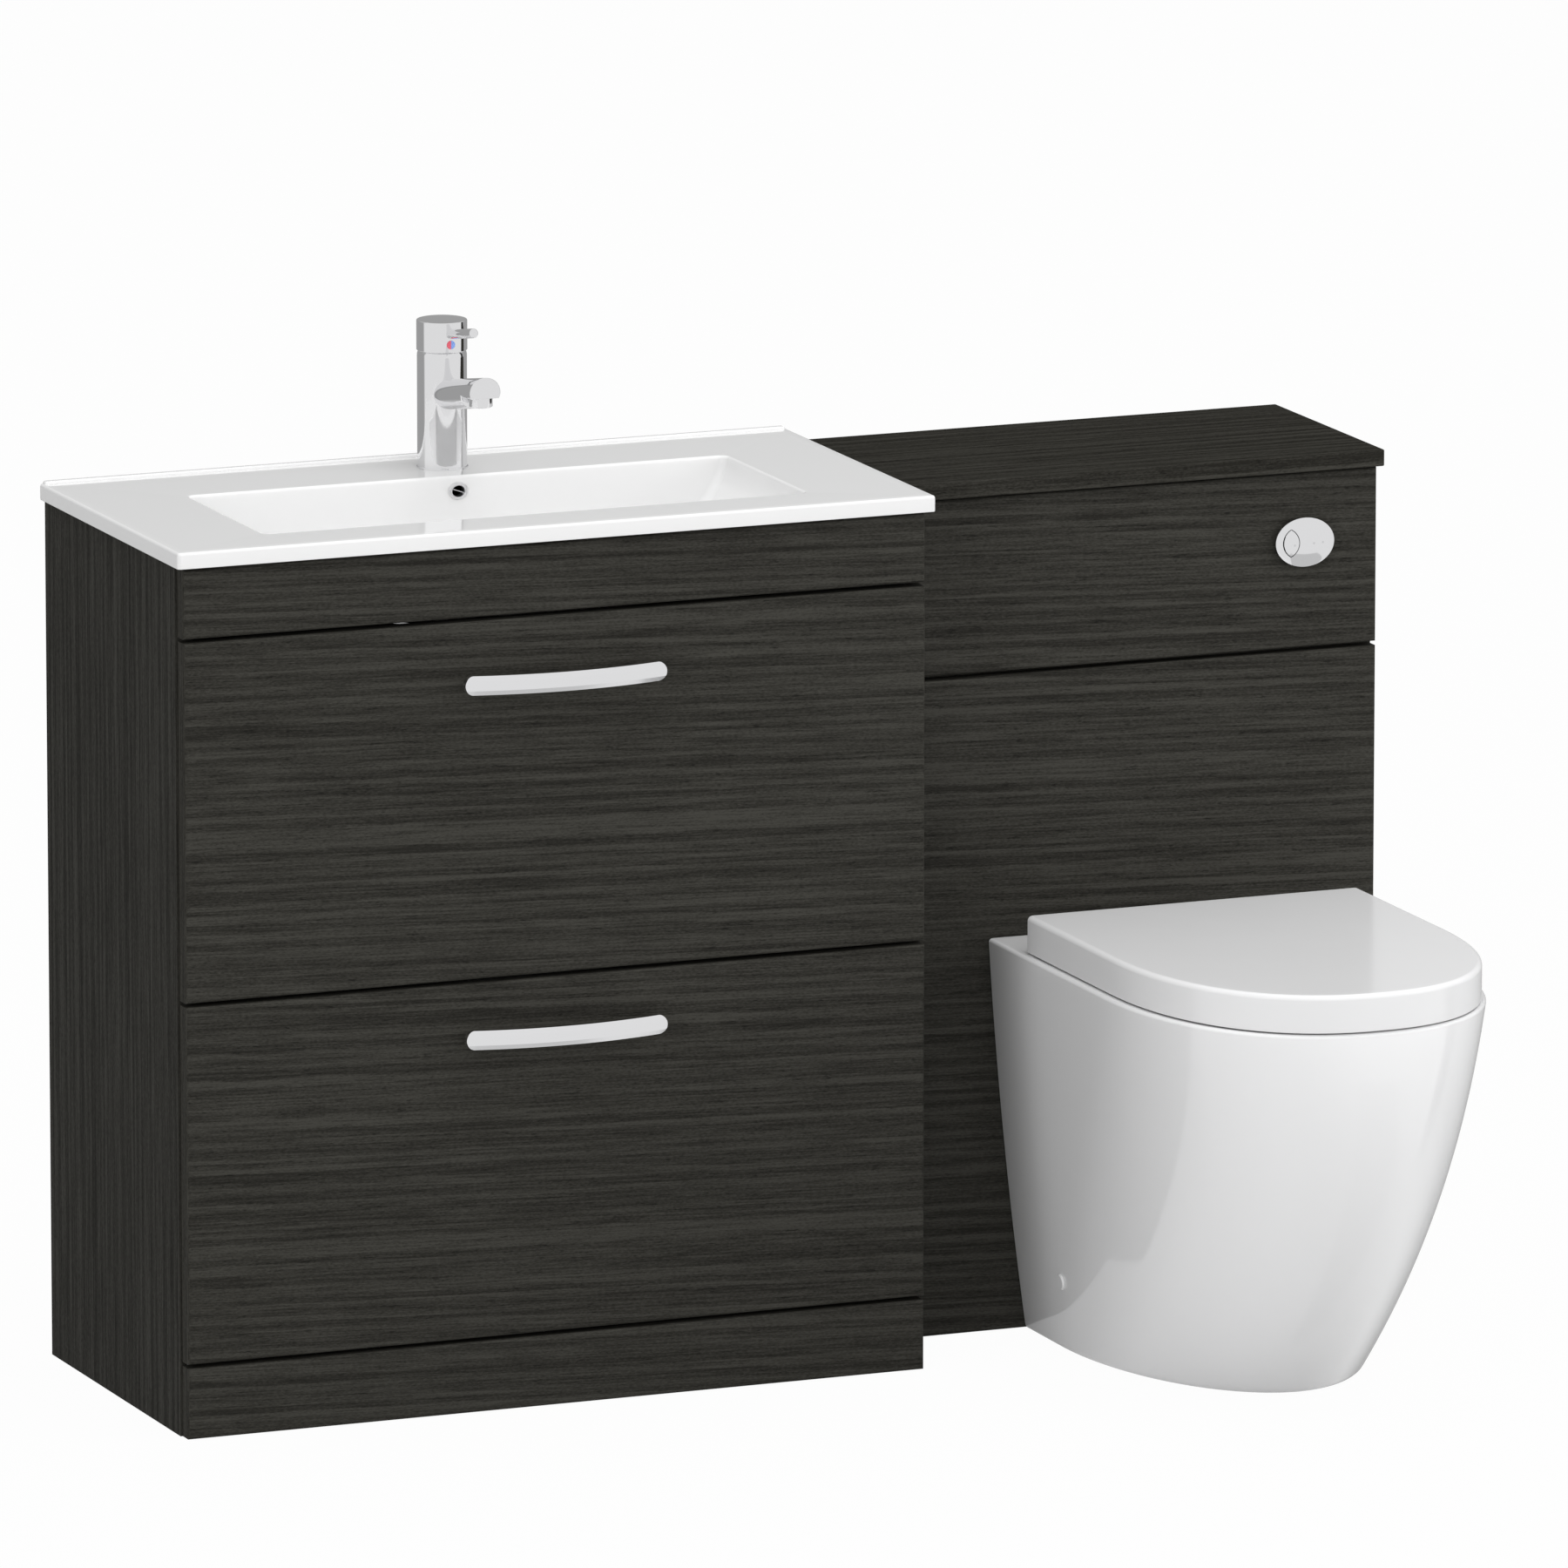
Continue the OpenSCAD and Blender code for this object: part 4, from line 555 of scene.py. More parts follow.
def spun(bm, profile, centre, axis=(0, 0, 1), steps=96):
    """Turns a chain of (radius, height) points once round an axis, as on a lathe."""
    axis = Vector(axis).normalized()
    turn = axis.to_track_quat("Z", "Y")
    chain = [bm.verts.new(centre + turn @ Vector((r * MM, 0, h * MM))) for r, h in profile]
    edges = [bm.edges.new(pair) for pair in zip(chain, chain[1:])]
    bmesh.ops.spin(bm, geom=chain + edges, cent=centre, axis=axis, dvec=(0, 0, 0), angle=2 * pi,
                   steps=steps, use_merge=True)
    bmesh.ops.remove_doubles(bm, verts=bm.verts, dist=1e-6)


def object_from(name, bm, finish):
    """Writes a bmesh into a new object at the origin."""
    mesh = bpy.data.meshes.new(name)
    bm.to_mesh(mesh)
    bm.free()
    mesh.materials.append(finish)
    made = bpy.data.objects.new(name, mesh)
    scene.collection.objects.link(made)
    return made


def make(name, bm, finish, body, *stands_for, angle=40):
    """Turns a bmesh into a smooth piece that rides on a body and may stand for CAD nodes."""
    bmesh.ops.recalc_face_normals(bm, faces=bm.faces)
    piece = object_from(name, bm, finish)
    piece.data.shade_smooth()
    piece.data.set_sharp_from_angle(angle=radians(angle))
    weighted = piece.modifiers.new("weighted normals", "WEIGHTED_NORMAL")
    weighted.keep_sharp = True
    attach(piece, body)
    if stands_for:
        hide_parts(*stands_for)
    print(name, "faces:", len(piece.data.polygons))


print("modelling helpers ready")

# %% [markdown]
# ## Outlines
# The pan, the seat and the lid are all D-shaped: a straight back, straight sides and a front that is a little squarer
# than an ellipse, which is called a superellipse. The basin's bowl is a rectangle with rounded corners.

# %% The D outline
PAN_MID = (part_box("lid")[0].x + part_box("lid")[1].x) / 2 / MM


def d_outline(z, half, back, straight, front, power=2.28, corner=5.0, shift=0.0):
    """A D in plan at height z: distances are from the wall, all in millimetres."""
    points = []
    for k in range(17):
        points.append((-(half - corner) + 2 * (half - corner) * k / 16, back))
    for k in range(1, 6):
        turn = radians(15 * k)
        points.append((half - corner + corner * sin(turn), back + corner - corner * cos(turn)))
    for k in range(13):
        points.append((half, back + corner + (straight - back - corner) * k / 12))
    for k in range(1, 72):
        turn = pi * k / 72
        side = 1 if cos(turn) > 0 else -1
        points.append((half * side * abs(cos(turn)) ** (2 / power),
                       straight + (front - straight) * sin(turn) ** (2 / power)))
    for k in range(13):
        points.append((-half, straight + (back + corner - straight) * k / 12))
    for k in range(1, 6):
        turn = radians(15 * k)
        points.append((-(half - corner) - corner * cos(turn), back + corner - corner * sin(turn)))
    return [place(PAN_MID + x + shift, d, z) for x, d in points]


print("the D outline has", len(d_outline(0, 100, 0, 100, 200)), "points; pan middle at", round(PAN_MID, 1))

# %% [markdown]
# ## Toilet pan
# The pan flares from a narrow foot to a wide rim, and its front rises in one long curve. Its plan changes with
# height, so each outline of the loft asks a function how wide and how long the pan is there. The underside, the
# wall, the rim and the bowl are one loft: bridging two loops as unlike as the foot and the bowl would twist.

# %% Pan measures by height
PAN_H, FACE = 412.0, 266.5
FOOT_W, RIM_W = 297, 381.8
FOOT_REACH, RIM_REACH = 363, 556
FOOT_STRAIGHT, RIM_STRAIGHT = 94.4, 294.4


def pan_outline(z, inset=0.0, corner=1.5):
    """The pan's outside in plan at height z, drawn in by an inset."""
    t = z / PAN_H
    wide, long = t * (1 + 0.4 * (1 - t)), t * (1 + 1.14 * (1 - t))
    half = (FOOT_W + (RIM_W - FOOT_W) * wide) / 2 - inset
    straight = FACE + FOOT_STRAIGHT + (RIM_STRAIGHT - FOOT_STRAIGHT) * t
    front = FACE + FOOT_REACH + (RIM_REACH - FOOT_REACH) * long - inset
    return d_outline(z, half, FACE + inset * 0.5, straight, front, 1.94 + 0.34 * t, corner)


print("half width at mid height:", round(max(p.x for p in pan_outline(206)) / MM - PAN_MID, 1))

# %% Pan body: foot, wall and rim
bm = bmesh.new()
EDGE, RIM_ROUND, PAN_BOWL_DEPTH = 4.0, 7, 262
wall = [pan_outline(0, 3), pan_outline(0.8, 1.2), pan_outline(2.5, 0.2)]
wall += [pan_outline(6 + (PAN_H - EDGE - 6) * k / 28) for k in range(29)]
for turn in (22.5, 45, 67.5, 90):
    a = radians(turn)
    wall.append(pan_outline(PAN_H - EDGE * (1 - sin(a)), EDGE * (1 - cos(a))))


def lerp(a, b, t):
    """The value a fraction t of the way from a to b."""
    return a + (b - a) * t


def bowl_outline(a, grow=0.0):
    """The bowl's inside, from the rim (a = 0) down to the sump (a = 90 degrees)."""
    s = 1 - cos(radians(a))
    half, corner = lerp(131, 42, s) + grow, lerp(90, 35, s)
    back, front = lerp(405, 425, s) - grow, lerp(765, 520, s) + grow
    return d_outline(PAN_H - PAN_BOWL_DEPTH * sin(radians(a)), half, back, lerp(560, 470, s), front, 2.1, corner)


rim = []
for turn in (90, 60, 30):
    a = radians(turn)
    edge = [p.copy() for p in bowl_outline(0, RIM_ROUND * (1 - cos(a)))]
    for p in edge:
        p.z = (PAN_H - RIM_ROUND * (1 - sin(a))) * MM
    rim.append(edge)
flat = [[outer.lerp(inner, t) for outer, inner in zip(wall[-1], rim[0])] for t in (0.1, 0.5)]
bowl = [bowl_outline(2 + 88 * k / 20) for k in range(21)]
print("pan outside:", len(wall + flat + rim + bowl), "outlines")

# %% Underside of the pan: a hollow skirt that rises round the outside of the bowl
SHELL, SKIRT = 12, 14
under = [bowl_outline(a, SHELL) for a in (90, 75, 60, 45, 30, 20)]
for ring in under:
    for p in ring:
        p.z -= SHELL * MM
skirt = [pan_outline(z, SKIRT) for z in (310, 140, 3)] + [pan_outline(0, SKIRT - 2)]
loft(bm, under + skirt + wall + flat + rim + bowl)
make("pan_ware", bm, pan_glaze, "unit", "pan", angle=50)

# %% [markdown]
# ## Lid
# The lid is a shallow tray turned upside down. It covers the seat on all sides, and its top edge is softly rounded.
# Like the pan it is one loft, which starts and ends flat. Two ears at the back take the hinge pins.

# %% Lid outline
LID_Z, LID_H, HINGE_D, HINGE_Z = 413.5, 38.5, 331.0, 424.0
LID_HALF, LID_BACK, LID_STRAIGHT, LID_REACH = 184.4, 82.5, 294.5, 557
EAR_R, EAR_W = 7, 13


def lid_outline(z, inset=0.0):
    """The lid in plan, drawn in by an inset."""
    return d_outline(z, LID_HALF - inset, FACE + LID_BACK + inset, FACE + LID_STRAIGHT, FACE + LID_REACH - inset,
                     corner=max(6 - inset, 1.5))


def ears(bm, inner, reach):
    """Two hinge ears; inner is the distance from the post's middle to the near face, minus for outward."""
    for side in (-1, 1):
        x0 = PAN_MID + side * (77.5 - inner)
        x1 = x0 - side * EAR_W if inner > 0 else x0 + side * EAR_W
        middle, length = place((x0 + x1) / 2, HINGE_D, HINGE_Z), EAR_W * MM
        turn = Matrix.Translation(middle) @ Matrix.Rotation(radians(90), 4, "Y")
        bmesh.ops.create_cone(bm, cap_ends=True, segments=40, radius1=EAR_R * MM, radius2=EAR_R * MM,
                              depth=length, matrix=turn)
        arm = Matrix.Translation(place((x0 + x1) / 2, HINGE_D + reach / 2, HINGE_Z)) @ Matrix.Diagonal(
            (length, reach * MM, 2 * EAR_R * MM, 1))
        bmesh.ops.create_cube(bm, size=1, matrix=arm)


print("lid outline:", len(lid_outline(0)), "points")

# %% Lid shell: one loft from the middle of its underside, round the rim and over to the middle of its top
bm = bmesh.new()
R, UNDER = 5.5, LID_Z + LID_H - 5
rings = [lid_outline(UNDER, inset) for inset in (66, 24, 12)]
rings += [lid_outline(UNDER - 1, 7), lid_outline(UNDER - 5, 5), lid_outline(LID_Z + 4, 5), lid_outline(LID_Z, 3.2)]
rings += [lid_outline(LID_Z, 1.2), lid_outline(LID_Z + 0.4, 0.4), lid_outline(LID_Z + 1.2)]
rings += [lid_outline(LID_Z + 1.2 + (LID_H - R - 1.2) * k / 3) for k in (1, 2, 3)]
for turn in (15, 30, 45, 60, 75, 90):
    a = radians(turn)
    rings.append(lid_outline(LID_Z + LID_H - R * (1 - sin(a)), R * (1 - cos(a))))
rings += [lid_outline(LID_Z + LID_H, R + 12), lid_outline(LID_Z + LID_H, R + 60)]
loft(bm, rings)
ears(bm, -10.3, 20)
make("lid_shell", bm, seat_white, "lid", "lid", angle=50)

# %% [markdown]
# ## Seat
# The seat lies under the lid: a ring whose top rolls into the opening. Its loft is endless: the last loop is bridged
# back to the first.

# %% Seat ring
SEAT_Z, SEAT_T, EDGE_ROLL, HOLE_ROLL = 417.0, 22.0, 6, 16


def hole_outline(z, grow=0.0):
    """The seat's opening in plan."""
    return d_outline(z, 116 + grow, FACE + 152.5 - grow, 560, 743 + grow, 2.1, 60)


bm = bmesh.new()
ring = [lid_outline(SEAT_Z, 10), lid_outline(SEAT_Z + 1, 8), lid_outline(SEAT_Z + 3, 7),
        lid_outline(SEAT_Z + SEAT_T - 7, 7)]
for turn in (22.5, 45, 67.5, 90):
    a = radians(turn)
    ring.append(lid_outline(SEAT_Z + SEAT_T - EDGE_ROLL * (1 - sin(a)), 7 + EDGE_ROLL * (1 - cos(a))))
ring.append([a.lerp(b, 0.5) for a, b in zip(ring[-1], hole_outline(SEAT_Z + SEAT_T, 22))])
ring.append(hole_outline(SEAT_Z + SEAT_T, 20))
for turn in (75, 60, 45, 30, 15, 0):
    a = radians(turn)
    ring.append(hole_outline(SEAT_Z + SEAT_T - HOLE_ROLL * (1 - sin(a)), HOLE_ROLL * (1 - cos(a))))
ring.append(hole_outline(SEAT_Z, 1))
loft(bm, ring, endless=True)
ears(bm, 10.3, 34)
make("seat_ring", bm, seat_white, "seat", "seat", angle=50)

# %% [markdown]
# ## Basin
# The basin is one casting: a thin slab with a dished bowl. The loft starts in the waste hole, climbs the bowl,
# crosses the flat, turns down over the slab's edge and comes back underneath to where it began.

# %% Basin measures and outline
BASIN_MID = (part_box("basin")[0].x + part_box("basin")[1].x) / 2 / MM
BASIN_Z, BOWL_DEPTH, WASTE_D = 904.0, 110.0, 215.0
BOWL, SUMP = (291, 121, 340, 8), (40, 175, 255, 40)  # half width, back, front and corner
BOWL_ROUND = 3


def spread(limit):
    """Positions along a straight edge, close together near its middle for the overflow hole."""
    near = [v * min(1, limit / 100) for v in (2.75, 5.5, 8.25, 11)]
    far = [near[-1] + (limit - near[-1]) * k / 9 for k in range(1, 10)]
    right = near + far
    return [-v for v in reversed(right)] + [0] + right


def rect_outline(z, half, back, front, corner):
    """A rectangle with round corners in plan, drawn from the back left corner clockwise."""
    points = [(x, back) for x in spread(half - corner)]
    depth = front - back - 2 * corner
    for k in range(1, 7):
        a = radians(15 * k)
        points.append((half - corner + corner * sin(a), back + corner * (1 - cos(a))))
    points += [(half, back + corner + depth * k / 10) for k in range(1, 10)]
    for k in range(7):
        a = radians(15 * k)
        points.append((half - corner + corner * cos(a), front - corner + corner * sin(a)))
    points += [(x, front) for x in reversed(spread(half - corner)[1:-1])]
    for k in range(7):
        a = radians(15 * k)
        points.append((-(half - corner) - corner * sin(a), front - corner + corner * cos(a)))
    points += [(-half, front - corner - depth * k / 10) for k in range(1, 10)]
    for k in range(6):
        a = radians(15 * k)
        points.append((-(half - corner) - corner * cos(a), back + corner - corner * sin(a)))
    return [place(BASIN_MID + x, d, z) for x, d in points]


def bowl_ring(depth, grow=0.0):
    """The bowl in plan at a depth below the basin's top; steep at the sides and flat at the bottom."""
    s = 1 - sqrt(max(0, 1 - (depth / (BOWL_DEPTH + grow)) ** 2))
    half, back, front, corner = (lerp(a, b, s) for a, b in zip(BOWL, SUMP))
    return rect_outline(BASIN_Z - depth, half + grow, back - grow, front + grow, corner + grow)


def round_ring(z, radius):
    """The sump's outline drawn onto a circle."""
    centre = place(BASIN_MID, WASTE_D, z)
    sump = rect_outline(z, *SUMP[:3], SUMP[3] - 0.1)
    return [centre + (p - centre).normalized() * radius * MM for p in sump]


print("bowl outline:", len(bowl_ring(0)), "points")

# %% Basin loft


def slab(z, inset):
    """The slab's outline at height z, drawn in by an inset."""
    return rect_outline(z, 406 - inset, inset, 404 - inset, max(4 - inset, 0.8))


bm = bmesh.new()
rings = [round_ring(784, 22.5), round_ring(792, 22.5), round_ring(793.6, 23.5), round_ring(794, 26),
         round_ring(794.05, 32)]
rings += [bowl_ring(BOWL_DEPTH * sin(radians(90 - 5 * k))) for k in range(1, 16)]
rings += [bowl_ring(d) for d in (25.0, 22.6, 18.5, 14.3, 10.1, 6.0, 3.0)]
for turn in (30, 60, 90):
    a = radians(turn)
    out = BOWL_ROUND * (1 - cos(a))
    half, back, front, corner = BOWL
    rings.append(rect_outline(BASIN_Z - BOWL_ROUND * (1 - sin(a)), half + out, back - out, front + out,
                              corner + out))
rings += [slab(BASIN_Z, 12), slab(BASIN_Z, 3)]
rings += [slab(BASIN_Z - 3 * (1 - sin(radians(t))), 3 * (1 - cos(radians(t)))) for t in (60, 30, 0)]
rings += [slab(888.5, 0), slab(887.4, 0.4), slab(887, 1.5), slab(887, 12)]
rings += [[Vector((p.x, p.y, 0.887)) for p in bowl_ring(17, 11)]]
rings += [bowl_ring(121 * sin(radians(a)), 11) for a in (14, 22, 32, 44, 56, 68, 80)]
rings += [round_ring(783.2, 44), round_ring(783, 26)]
loft(bm, rings, endless=True)
print("basin loft:", len(bm.faces), "faces")

# %% Overflow hole: the vertices inside it are removed and its border is drawn onto an oval
OVERFLOW, OVAL = place(BASIN_MID, 121.4, 888.1), 0.84
near = [v for v in bm.verts if abs(v.co.x - OVERFLOW.x) < 8.4 * MM and abs(v.co.z - OVERFLOW.z) < 4.5 * MM
        and abs(v.co.y - OVERFLOW.y) < 3 * MM]
bmesh.ops.delete(bm, geom=near, context="VERTS")
border = [e for e in bm.edges if e.is_boundary]
for vert in {v for e in border for v in e.verts}:
    away = Vector((vert.co.x - OVERFLOW.x, 0, vert.co.z - OVERFLOW.z)).normalized() * 8.6 * MM
    vert.co.x, vert.co.z = OVERFLOW.x + away.x, OVERFLOW.z + away.z * OVAL
throat = bmesh.ops.extrude_edge_only(bm, edges=border)["geom"]
deep = {g for g in throat if isinstance(g, bmesh.types.BMVert)}
bmesh.ops.translate(bm, verts=list(deep), vec=(0, 17 * MM, 0))
cap(bm, [g for g in throat if isinstance(g, bmesh.types.BMEdge) and set(g.verts) <= deep])
print("overflow border:", len(border), "edges")

# %% Lip along the back of the basin
rounded_block(bm, Matrix.Translation(place(BASIN_MID, 5.5, 903.4)), (806, 9, 6.8), 2.6, 5)
make("basin_ware", bm, basin_glaze, "unit", "basin", angle=50)

# %% Overflow ring: turned on the lathe, pressed to an oval, with a thin bar across it
bm = bmesh.new()
spun(bm, [(6.6, -10), (6.6, 1.2), (7.2, 2.0), (8.2, 2.5), (9.4, 2.4), (10.3, 1.7), (10.8, 0.6), (10.8, -0.6),
          (8.2, -0.6), (8.2, -10), (6.6, -10)], OVERFLOW, (0, -1, 0), 64)
across = Matrix.Translation(OVERFLOW + Vector((0, 3 * MM, 0))) @ Matrix.Rotation(radians(23), 4, "Y")
rounded_block(bm, across, (13.6, 1, 1), 0.3, 2)
for vert in bm.verts:
    vert.co.z = lerp(OVERFLOW.z, vert.co.z, OVAL)
make("overflow_trim", bm, brushed_chrome, "unit", "overflow_ring")

# %% Painted shade in the throat: a near-black disc behind the ring
bm = bmesh.new()
bmesh.ops.create_circle(bm, cap_ends=True, segments=48, radius=6.8 * MM, matrix=Matrix.Translation(
    OVERFLOW + Vector((0, 8 * MM, 0))) @ Matrix.Rotation(radians(90), 4, "X"))
bmesh.ops.extrude_face_region(bm, geom=bm.faces[:])
for vert in bm.verts:
    vert.co.z = lerp(OVERFLOW.z, vert.co.z, OVAL)
make("overflow_throat_painted_shade", bm, throat_painted_shade, "unit")

# %% [markdown]
# ## Drawer handles
# Each handle is a flat bar, bowed outward in the middle, with round ends and a wide chamfer along its top and its
# bottom. Its section is drawn once, as pairs of a height above the middle line and a depth. Toward each end a circle
# cuts the section shorter, and the chamfer runs out where the circle crosses it.

# %% Handle bar
HANDLE_L, HANDLE_T, BOW = 216.0, 8.0, 15.0
POST_X, POST_R = 80, 4
CHAMFER = ((10.0, 3.9), (9.78, 4.7), (5.5, 7.6), (4.9, 8.0), (0.0, 8.0))


def face_out(up):
    """How far the bar's face stands out at a height above its middle line."""
    for (outer, low), (inner, high) in zip(CHAMFER, CHAMFER[1:]):
        if up >= inner:
            return lerp(low, high, (outer - up) / (outer - inner))


def handle(name, node_name, body):
    """A bowed bar on two posts where the CAD handle is."""
    low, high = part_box(node_name)
    z, front = (low.z + high.z) / 2 / MM, (WALL - low.y) / MM
    half, r = HANDLE_L / 2, CHAMFER[0][0]
    ends = [half - r + r * sin(radians(a)) for a in (89.4, 86, 80, 74, 66, 57, 48, 38, 29, 20, 10)]
    stations = [-x for x in ends] + [(half - r) * k / 14 for k in range(-14, 15)] + ends[::-1]
    outlines = []
    for x in stations:
        past = max(0, abs(x) - (half - r))
        tall = sqrt(r * r - past * past)
        bowed = front - BOW * (x / half) ** 2 - HANDLE_T
        upper = [(tall, 0.0)] + [(min(up, tall), face_out(min(up, tall))) for up, _ in CHAMFER[:4]]
        section = [(-up, out) for up, out in upper] + upper[::-1]
        outlines.append([place(BASIN_MID + x, bowed + out, z + up) for up, out in section])
    bm = bmesh.new()
    loft(bm, outlines)
    bmesh.ops.remove_doubles(bm, verts=bm.verts, dist=1e-6)
    back = high.y
    for side in (-1, 1):
        foot = Vector(((BASIN_MID + side * POST_X) * MM, back, z * MM))
        reach = front - BOW * (POST_X / half) ** 2 - 3 - (WALL - back) / MM
        spun(bm, [(0, 0), (POST_R, 0), (POST_R, reach), (0, reach)], foot, (0, -1, 0), 40)
    make(name, bm, satin_chrome, body, node_name, angle=30)


handle("upper_handle_bar", "upper_handle", "upper_drawer")
handle("lower_handle_bar", "lower_handle", "lower_drawer")

# %% [markdown]
# ## Mixer tap
# The tap body is turned on a lathe, so its profile is spun round its axis. The spout is a round tube that rises
# gently, and is cut flat under its end for the aerator. A circle of edges is extruded along it; where the
# flat begins, the vertices below it are lifted onto it.

# %% Tap body: the shoulder is part of a ball about the handle's pivot, so the cap can tilt over it
TAP_X, TAP_D, PIVOT_Z = tap_x / MM, 70, 1012.0
BODY_R, BALL_R, SHOULDER = 25.35, 27, 15.3


def above(z):
    """A point on the tap's axis at height z."""
    return place(TAP_X, TAP_D, z)


bm = bmesh.new()
dome = [(BALL_R * cos(radians(a)), PIVOT_Z + BALL_R * sin(radians(a))) for a in (22, 24, 26, 28, 31, 34)]
base = [(0, 904), (26.45, 904), (26.45, 905.4), (25.9, 906), (BODY_R, 906.2)]
column = [(BODY_R, 960), (BODY_R, 1019), (25.27, 1020.6)]
socket = [(21, PIVOT_Z + SHOULDER), (17.8, PIVOT_Z + SHOULDER), (17.8, 987), (0, 987)]
spun(bm, base + column + dome + socket, above(0), steps=128)

# %% Spout
SLOPE, FLAT = tan(radians(10.3)), 994.2
SPOUT_Z, SPOUT_HALF_W, SPOUT_HALF_H = 978.7, 16.5, 15.6


def spout_ring(d, flat=None):
    """A ring of the spout in the upright plane at distance d from the wall."""
    centre = SPOUT_Z + (d - TAP_D) * SLOPE
    ring = []
    for k in range(72):
        a = 2 * pi * k / 72
        z = centre - 0.3 + SPOUT_HALF_H * sin(a)
        ring.append(place(TAP_X + SPOUT_HALF_W * cos(a), d, z if flat is None else max(z, flat)))
    return ring


stations = [spout_ring(78), spout_ring(110), spout_ring(140), spout_ring(162.9), spout_ring(163.5, FLAT),
            spout_ring(176, FLAT), spout_ring(190.4, FLAT)]
end_loop = spout_ring(191, FLAT)
end_mid = sum(end_loop, Vector()) / len(end_loop)
stations.append([p.lerp(end_mid, 0.03) for p in end_loop])
loft(bm, stations)
make("tap_casting", bm, chrome, "unit", "tap_body", angle=30)

# %% Aerator
bm = bmesh.new()
spun(bm, [(0, 10), (11.9, 10), (11.9, 1.0), (11.5, 0.3), (10.9, 0), (9.9, 0), (9.7, 2.2), (0, 2.4)],
     place(TAP_X, 178.3, 984.2), steps=64)
make("aerator_cup", bm, chrome, "unit", "tap_aerator")

# %% Tap cap: hollow underneath, and clear of the shoulder's ball
bm = bmesh.new()
top = [(25.85 - 1.1 * (1 - cos(radians(a))), 1054.8 + 1.1 * sin(radians(a))) for a in (0, 30, 60, 90)]
spun(bm, [(0, 1035), (22.9, 1035), (22.9, 1027.8), (24.6, 1027.8), (24.6, 1025.3), (24.9, 1025), (25.5, 1025),
          (25.85, 1025.4), (25.85, 1040)] + top + [(12, 1055.98), (0, 1056)], above(0), steps=128)
make("cap_shell", bm, chrome, "tap_handle", "tap_cap", angle=30)

# %% Lever pin and mark
bm = bmesh.new()
lever_axis = Vector((0, -cos(radians(10.2)), sin(radians(10.2))))
spun(bm, [(0, 14), (4.9, 14), (4.9, 90.3), (4.6, 91.1), (4.0, 91.5), (0, 91.5)], above(1040), lever_axis, 48)
make("lever_pin", bm, chrome, "tap_handle", "tap_lever")
bm = bmesh.new()
spun(bm, [(0, 0.15), (4.3, 0.15), (4.5, 0), (0, -1)], place(TAP_X, TAP_D + 25.9, 1033.5), (0, -1, 0), 48)
make("hot_cold_mark", bm, mark_paint, "tap_handle", "tap_indicator")

# %% [markdown]
# ## Flush buttons
# The flush plate is a shallow oval dome split by a lens-shaped groove: the lens is the half flush. Both pieces are
# lofted in plan, and each vertex is then lifted onto the dome.

# %% Dome and outlines
button_low, button_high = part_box("full_flush_button")
BUTTON = Vector(((button_low.x + button_high.x) / 2 - 1.2 * MM, WALL - FACE * MM, 0.7991))
BUTTON_BACK, LENS_X = 3.8, -16.2
PLATE_A, PLATE_B = 32.5, 25.5  # the oval's half width and half height
LENS_W, LENS_H = 17.0, 27.9


def on_dome(x, z, sink=0.0):
    """The point of the dome at x and z from its middle, in millimetres."""
    r2 = min(1, (x / PLATE_A) ** 2 + (z / PLATE_B) ** 2)
    out = BUTTON_BACK + 2 + 4.5 * sqrt(max(0, 1 - r2 * 0.94)) - sink
    return Vector((BUTTON.x + x * MM, BUTTON.y - out * MM, BUTTON.z + z * MM))


def lens_point(k, count, grow=0.0):
    """A point of the lens outline; the two arcs meet at the top and the bottom."""
    radius = (LENS_H * LENS_H + LENS_W * LENS_W) / (4 * LENS_W)
    side = 1 if k < count / 2 else -1
    t = (k % (count // 2)) / (count // 2)
    limit = asin(min(1, LENS_H / 2 / radius))
    a = -limit + 2 * limit * t
    x = radius * cos(a) - (radius - LENS_W / 2)
    z = radius * sin(a)
    if side < 0:
        x, z = -x, -z
    away = Vector((x, z)).normalized() * grow
    return LENS_X + x + away.x, z + away.y


def oval_point(k, count):
    """A point of the plate's oval, in step with the lens."""
    a = -pi / 2 + 2 * pi * k / count
    return PLATE_A * cos(a), PLATE_B * sin(a)


print("button middle:", [round(v, 4) for v in BUTTON])

# %% Finish of the flush plate: one faint dot marks the half flush and two mark the full flush
flush_chrome = glossy("flush plate chrome", CHROME_TONE, 0.05, 0.03, 20, 0.00002, Metallic=1.0)
tree = flush_chrome.node_tree
where = node(tree, "ShaderNodeTexCoord").outputs["Object"]
dots = 0.0
for x, z in ((-12.6, -2.2), (8.6, -1.2), (18.8, -0.8)):
    apart = node(tree, "ShaderNodeVectorMath", operation="DISTANCE")
    tree.links.new(where, apart.inputs[0])
    apart.inputs[1].default_value = on_dome(x, z)
    near = math_node(tree, "SUBTRACT", 1.7 * MM, apart.outputs["Value"])
    dots = math_node(tree, "ADD", dots, math_node(tree, "DIVIDE", near, 0.9 * MM, clamp=True))
tint = mixed(tree, dots, CHROME_TONE, (0.70, 0.70, 0.71))
tree.links.new(tint, tree.nodes["Principled BSDF"].inputs["Base Color"])
print("flush plate finish:", len(tree.nodes), "nodes")

# %% Full and half flush
COUNT = 96


def flush_ring(t, grow, sink=0.0):
    """A ring between the lens (t = 0) and the oval (t = 1)."""
    ring = []
    for k in range(COUNT):
        (x0, z0), (x1, z1) = lens_point(k, COUNT, grow), oval_point(k, COUNT)
        ring.append(on_dome(lerp(x0, x1, t), lerp(z0, z1, t), sink))
    return ring


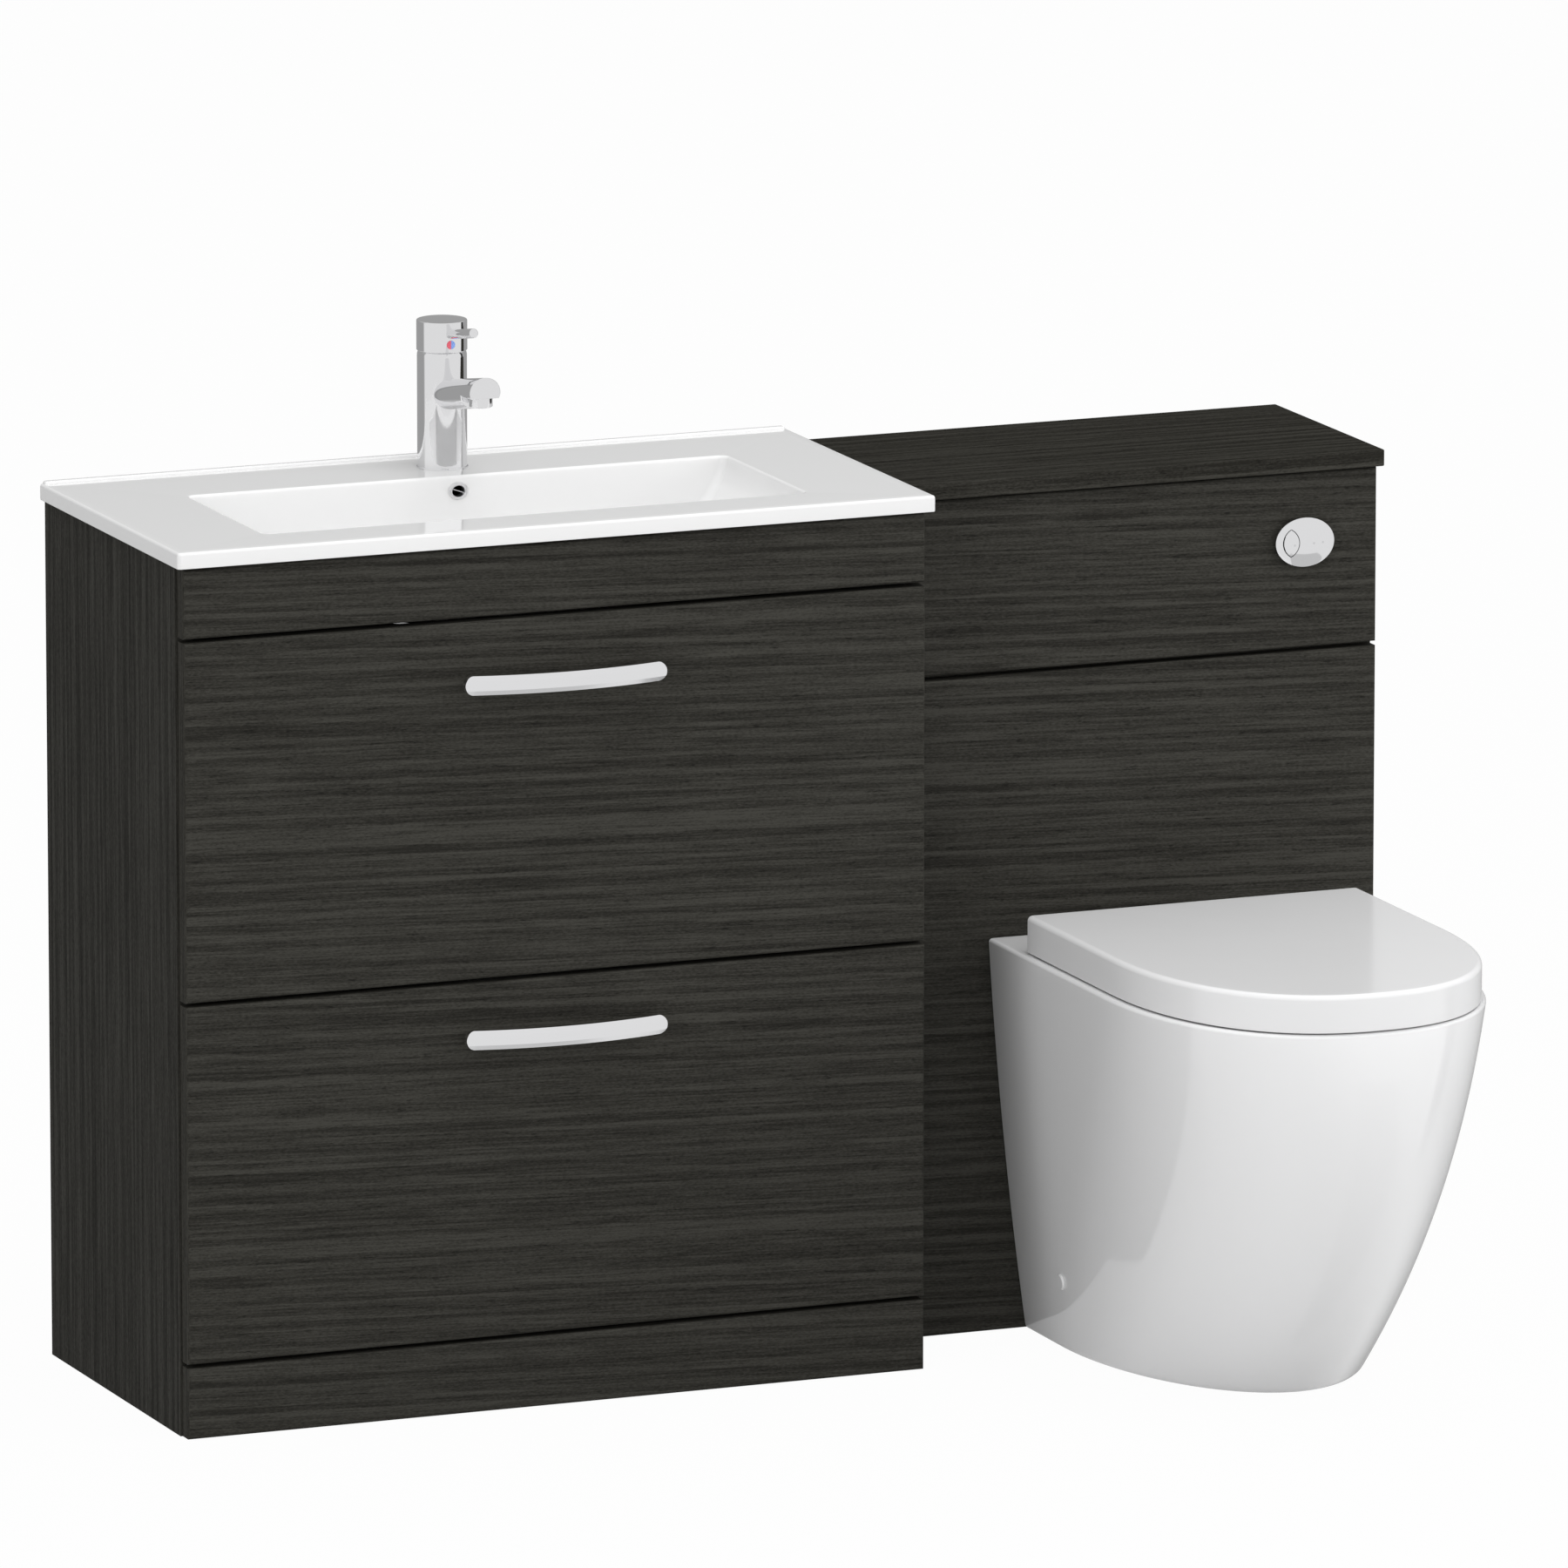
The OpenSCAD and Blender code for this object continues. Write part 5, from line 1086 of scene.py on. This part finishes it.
def pushed(ring, out):
    """The ring flattened onto one depth, out millimetres in front of the panel."""
    return [Vector((p.x, BUTTON.y - out * MM, p.z)) for p in ring]


def stem(bm, x, radius, steps):
    """A round stem behind the plate, at x from its middle, that reaches through the panel."""
    spun(bm, [(0, -22), (radius, -22), (radius, 4), (0, 4)],
         Vector((BUTTON.x + x * MM, BUTTON.y, BUTTON.z)), (0, -1, 0), steps)


bm = bmesh.new()
edge = flush_ring(1, 0)
rings = [pushed(flush_ring(0, 0.45), BUTTON_BACK + 1.4), flush_ring(0, 0.45, 0.4), flush_ring(0, 0.7)]
rings += [flush_ring(t, 0.45) for t in (0.1, 0.25, 0.4, 0.55, 0.7, 0.82, 0.91, 0.97)]
rings += [edge, pushed(edge, BUTTON_BACK + 1.1), pushed(flush_ring(0.99, 0), BUTTON_BACK + 0.8),
          pushed(flush_ring(0.97, 0), BUTTON_BACK + 0.8), pushed(flush_ring(0.965, 0), BUTTON_BACK + 1.4)]
loft(bm, rings, endless=True)
stem(bm, 6, 8, 32)
make("full_flush_plate", bm, flush_chrome, "full_flush", "full_flush_button", angle=35)
bm = bmesh.new()
inner = [[on_dome(LENS_X + 0.25 + (x - LENS_X) * s, z * s, 0.35 if s == 1 else 0.0)
          for x, z in (lens_point(k, COUNT, -0.15) for k in range(COUNT))] for s in (1, 0.97, 0.7, 0.4, 0.1)]
loft(bm, [pushed(inner[0], BUTTON_BACK + 1.4)] + inner)
stem(bm, -14.1, 3, 24)
make("half_flush_lens", bm, flush_chrome, "half_flush", "half_flush_button", angle=35)

# %% [markdown]
# ## Floor
# The unit stands on a plain pale floor. To the camera it is nearly white with a faint shadow. Mirror rays pass
# through it, so the chrome shows the room all the way down.

# %% Floor
SHOWN_WHITE = 0.97  # how much of the floor that the camera sees is plain white
floor_paint, tree, shader = new_material("floor", Base_Color=(0.55, 0.55, 0.55), Roughness=0.9,
                                         Specular_IOR_Level=0.0)
bm = bmesh.new()
bmesh.ops.create_grid(bm, x_segments=1, y_segments=1, size=40, matrix=Matrix.Translation((0, 0, -0.0005)))
floor = object_from("floor", bm, floor_paint)
floor.visible_glossy = False
glow = node(tree, "ShaderNodeEmission", Strength=1.0)
glow.inputs["Color"].default_value = (1, 1, 1, 1)
path = node(tree, "ShaderNodeLightPath")
blend = node(tree, "ShaderNodeMixShader")
tree.links.new(math_node(tree, "MULTIPLY", path.outputs["Is Camera Ray"], SHOWN_WHITE), blend.inputs[0])
tree.links.new(shader.outputs[0], blend.inputs[1])
tree.links.new(glow.outputs[0], blend.inputs[2])
tree.links.new(blend.outputs[0], tree.nodes["Material Output"].inputs["Surface"])
print("floor laid")

# %% Sizes of the CAD model
print("cad   ", [round(v, 4) for v in (*cad_low, *cad_high)])
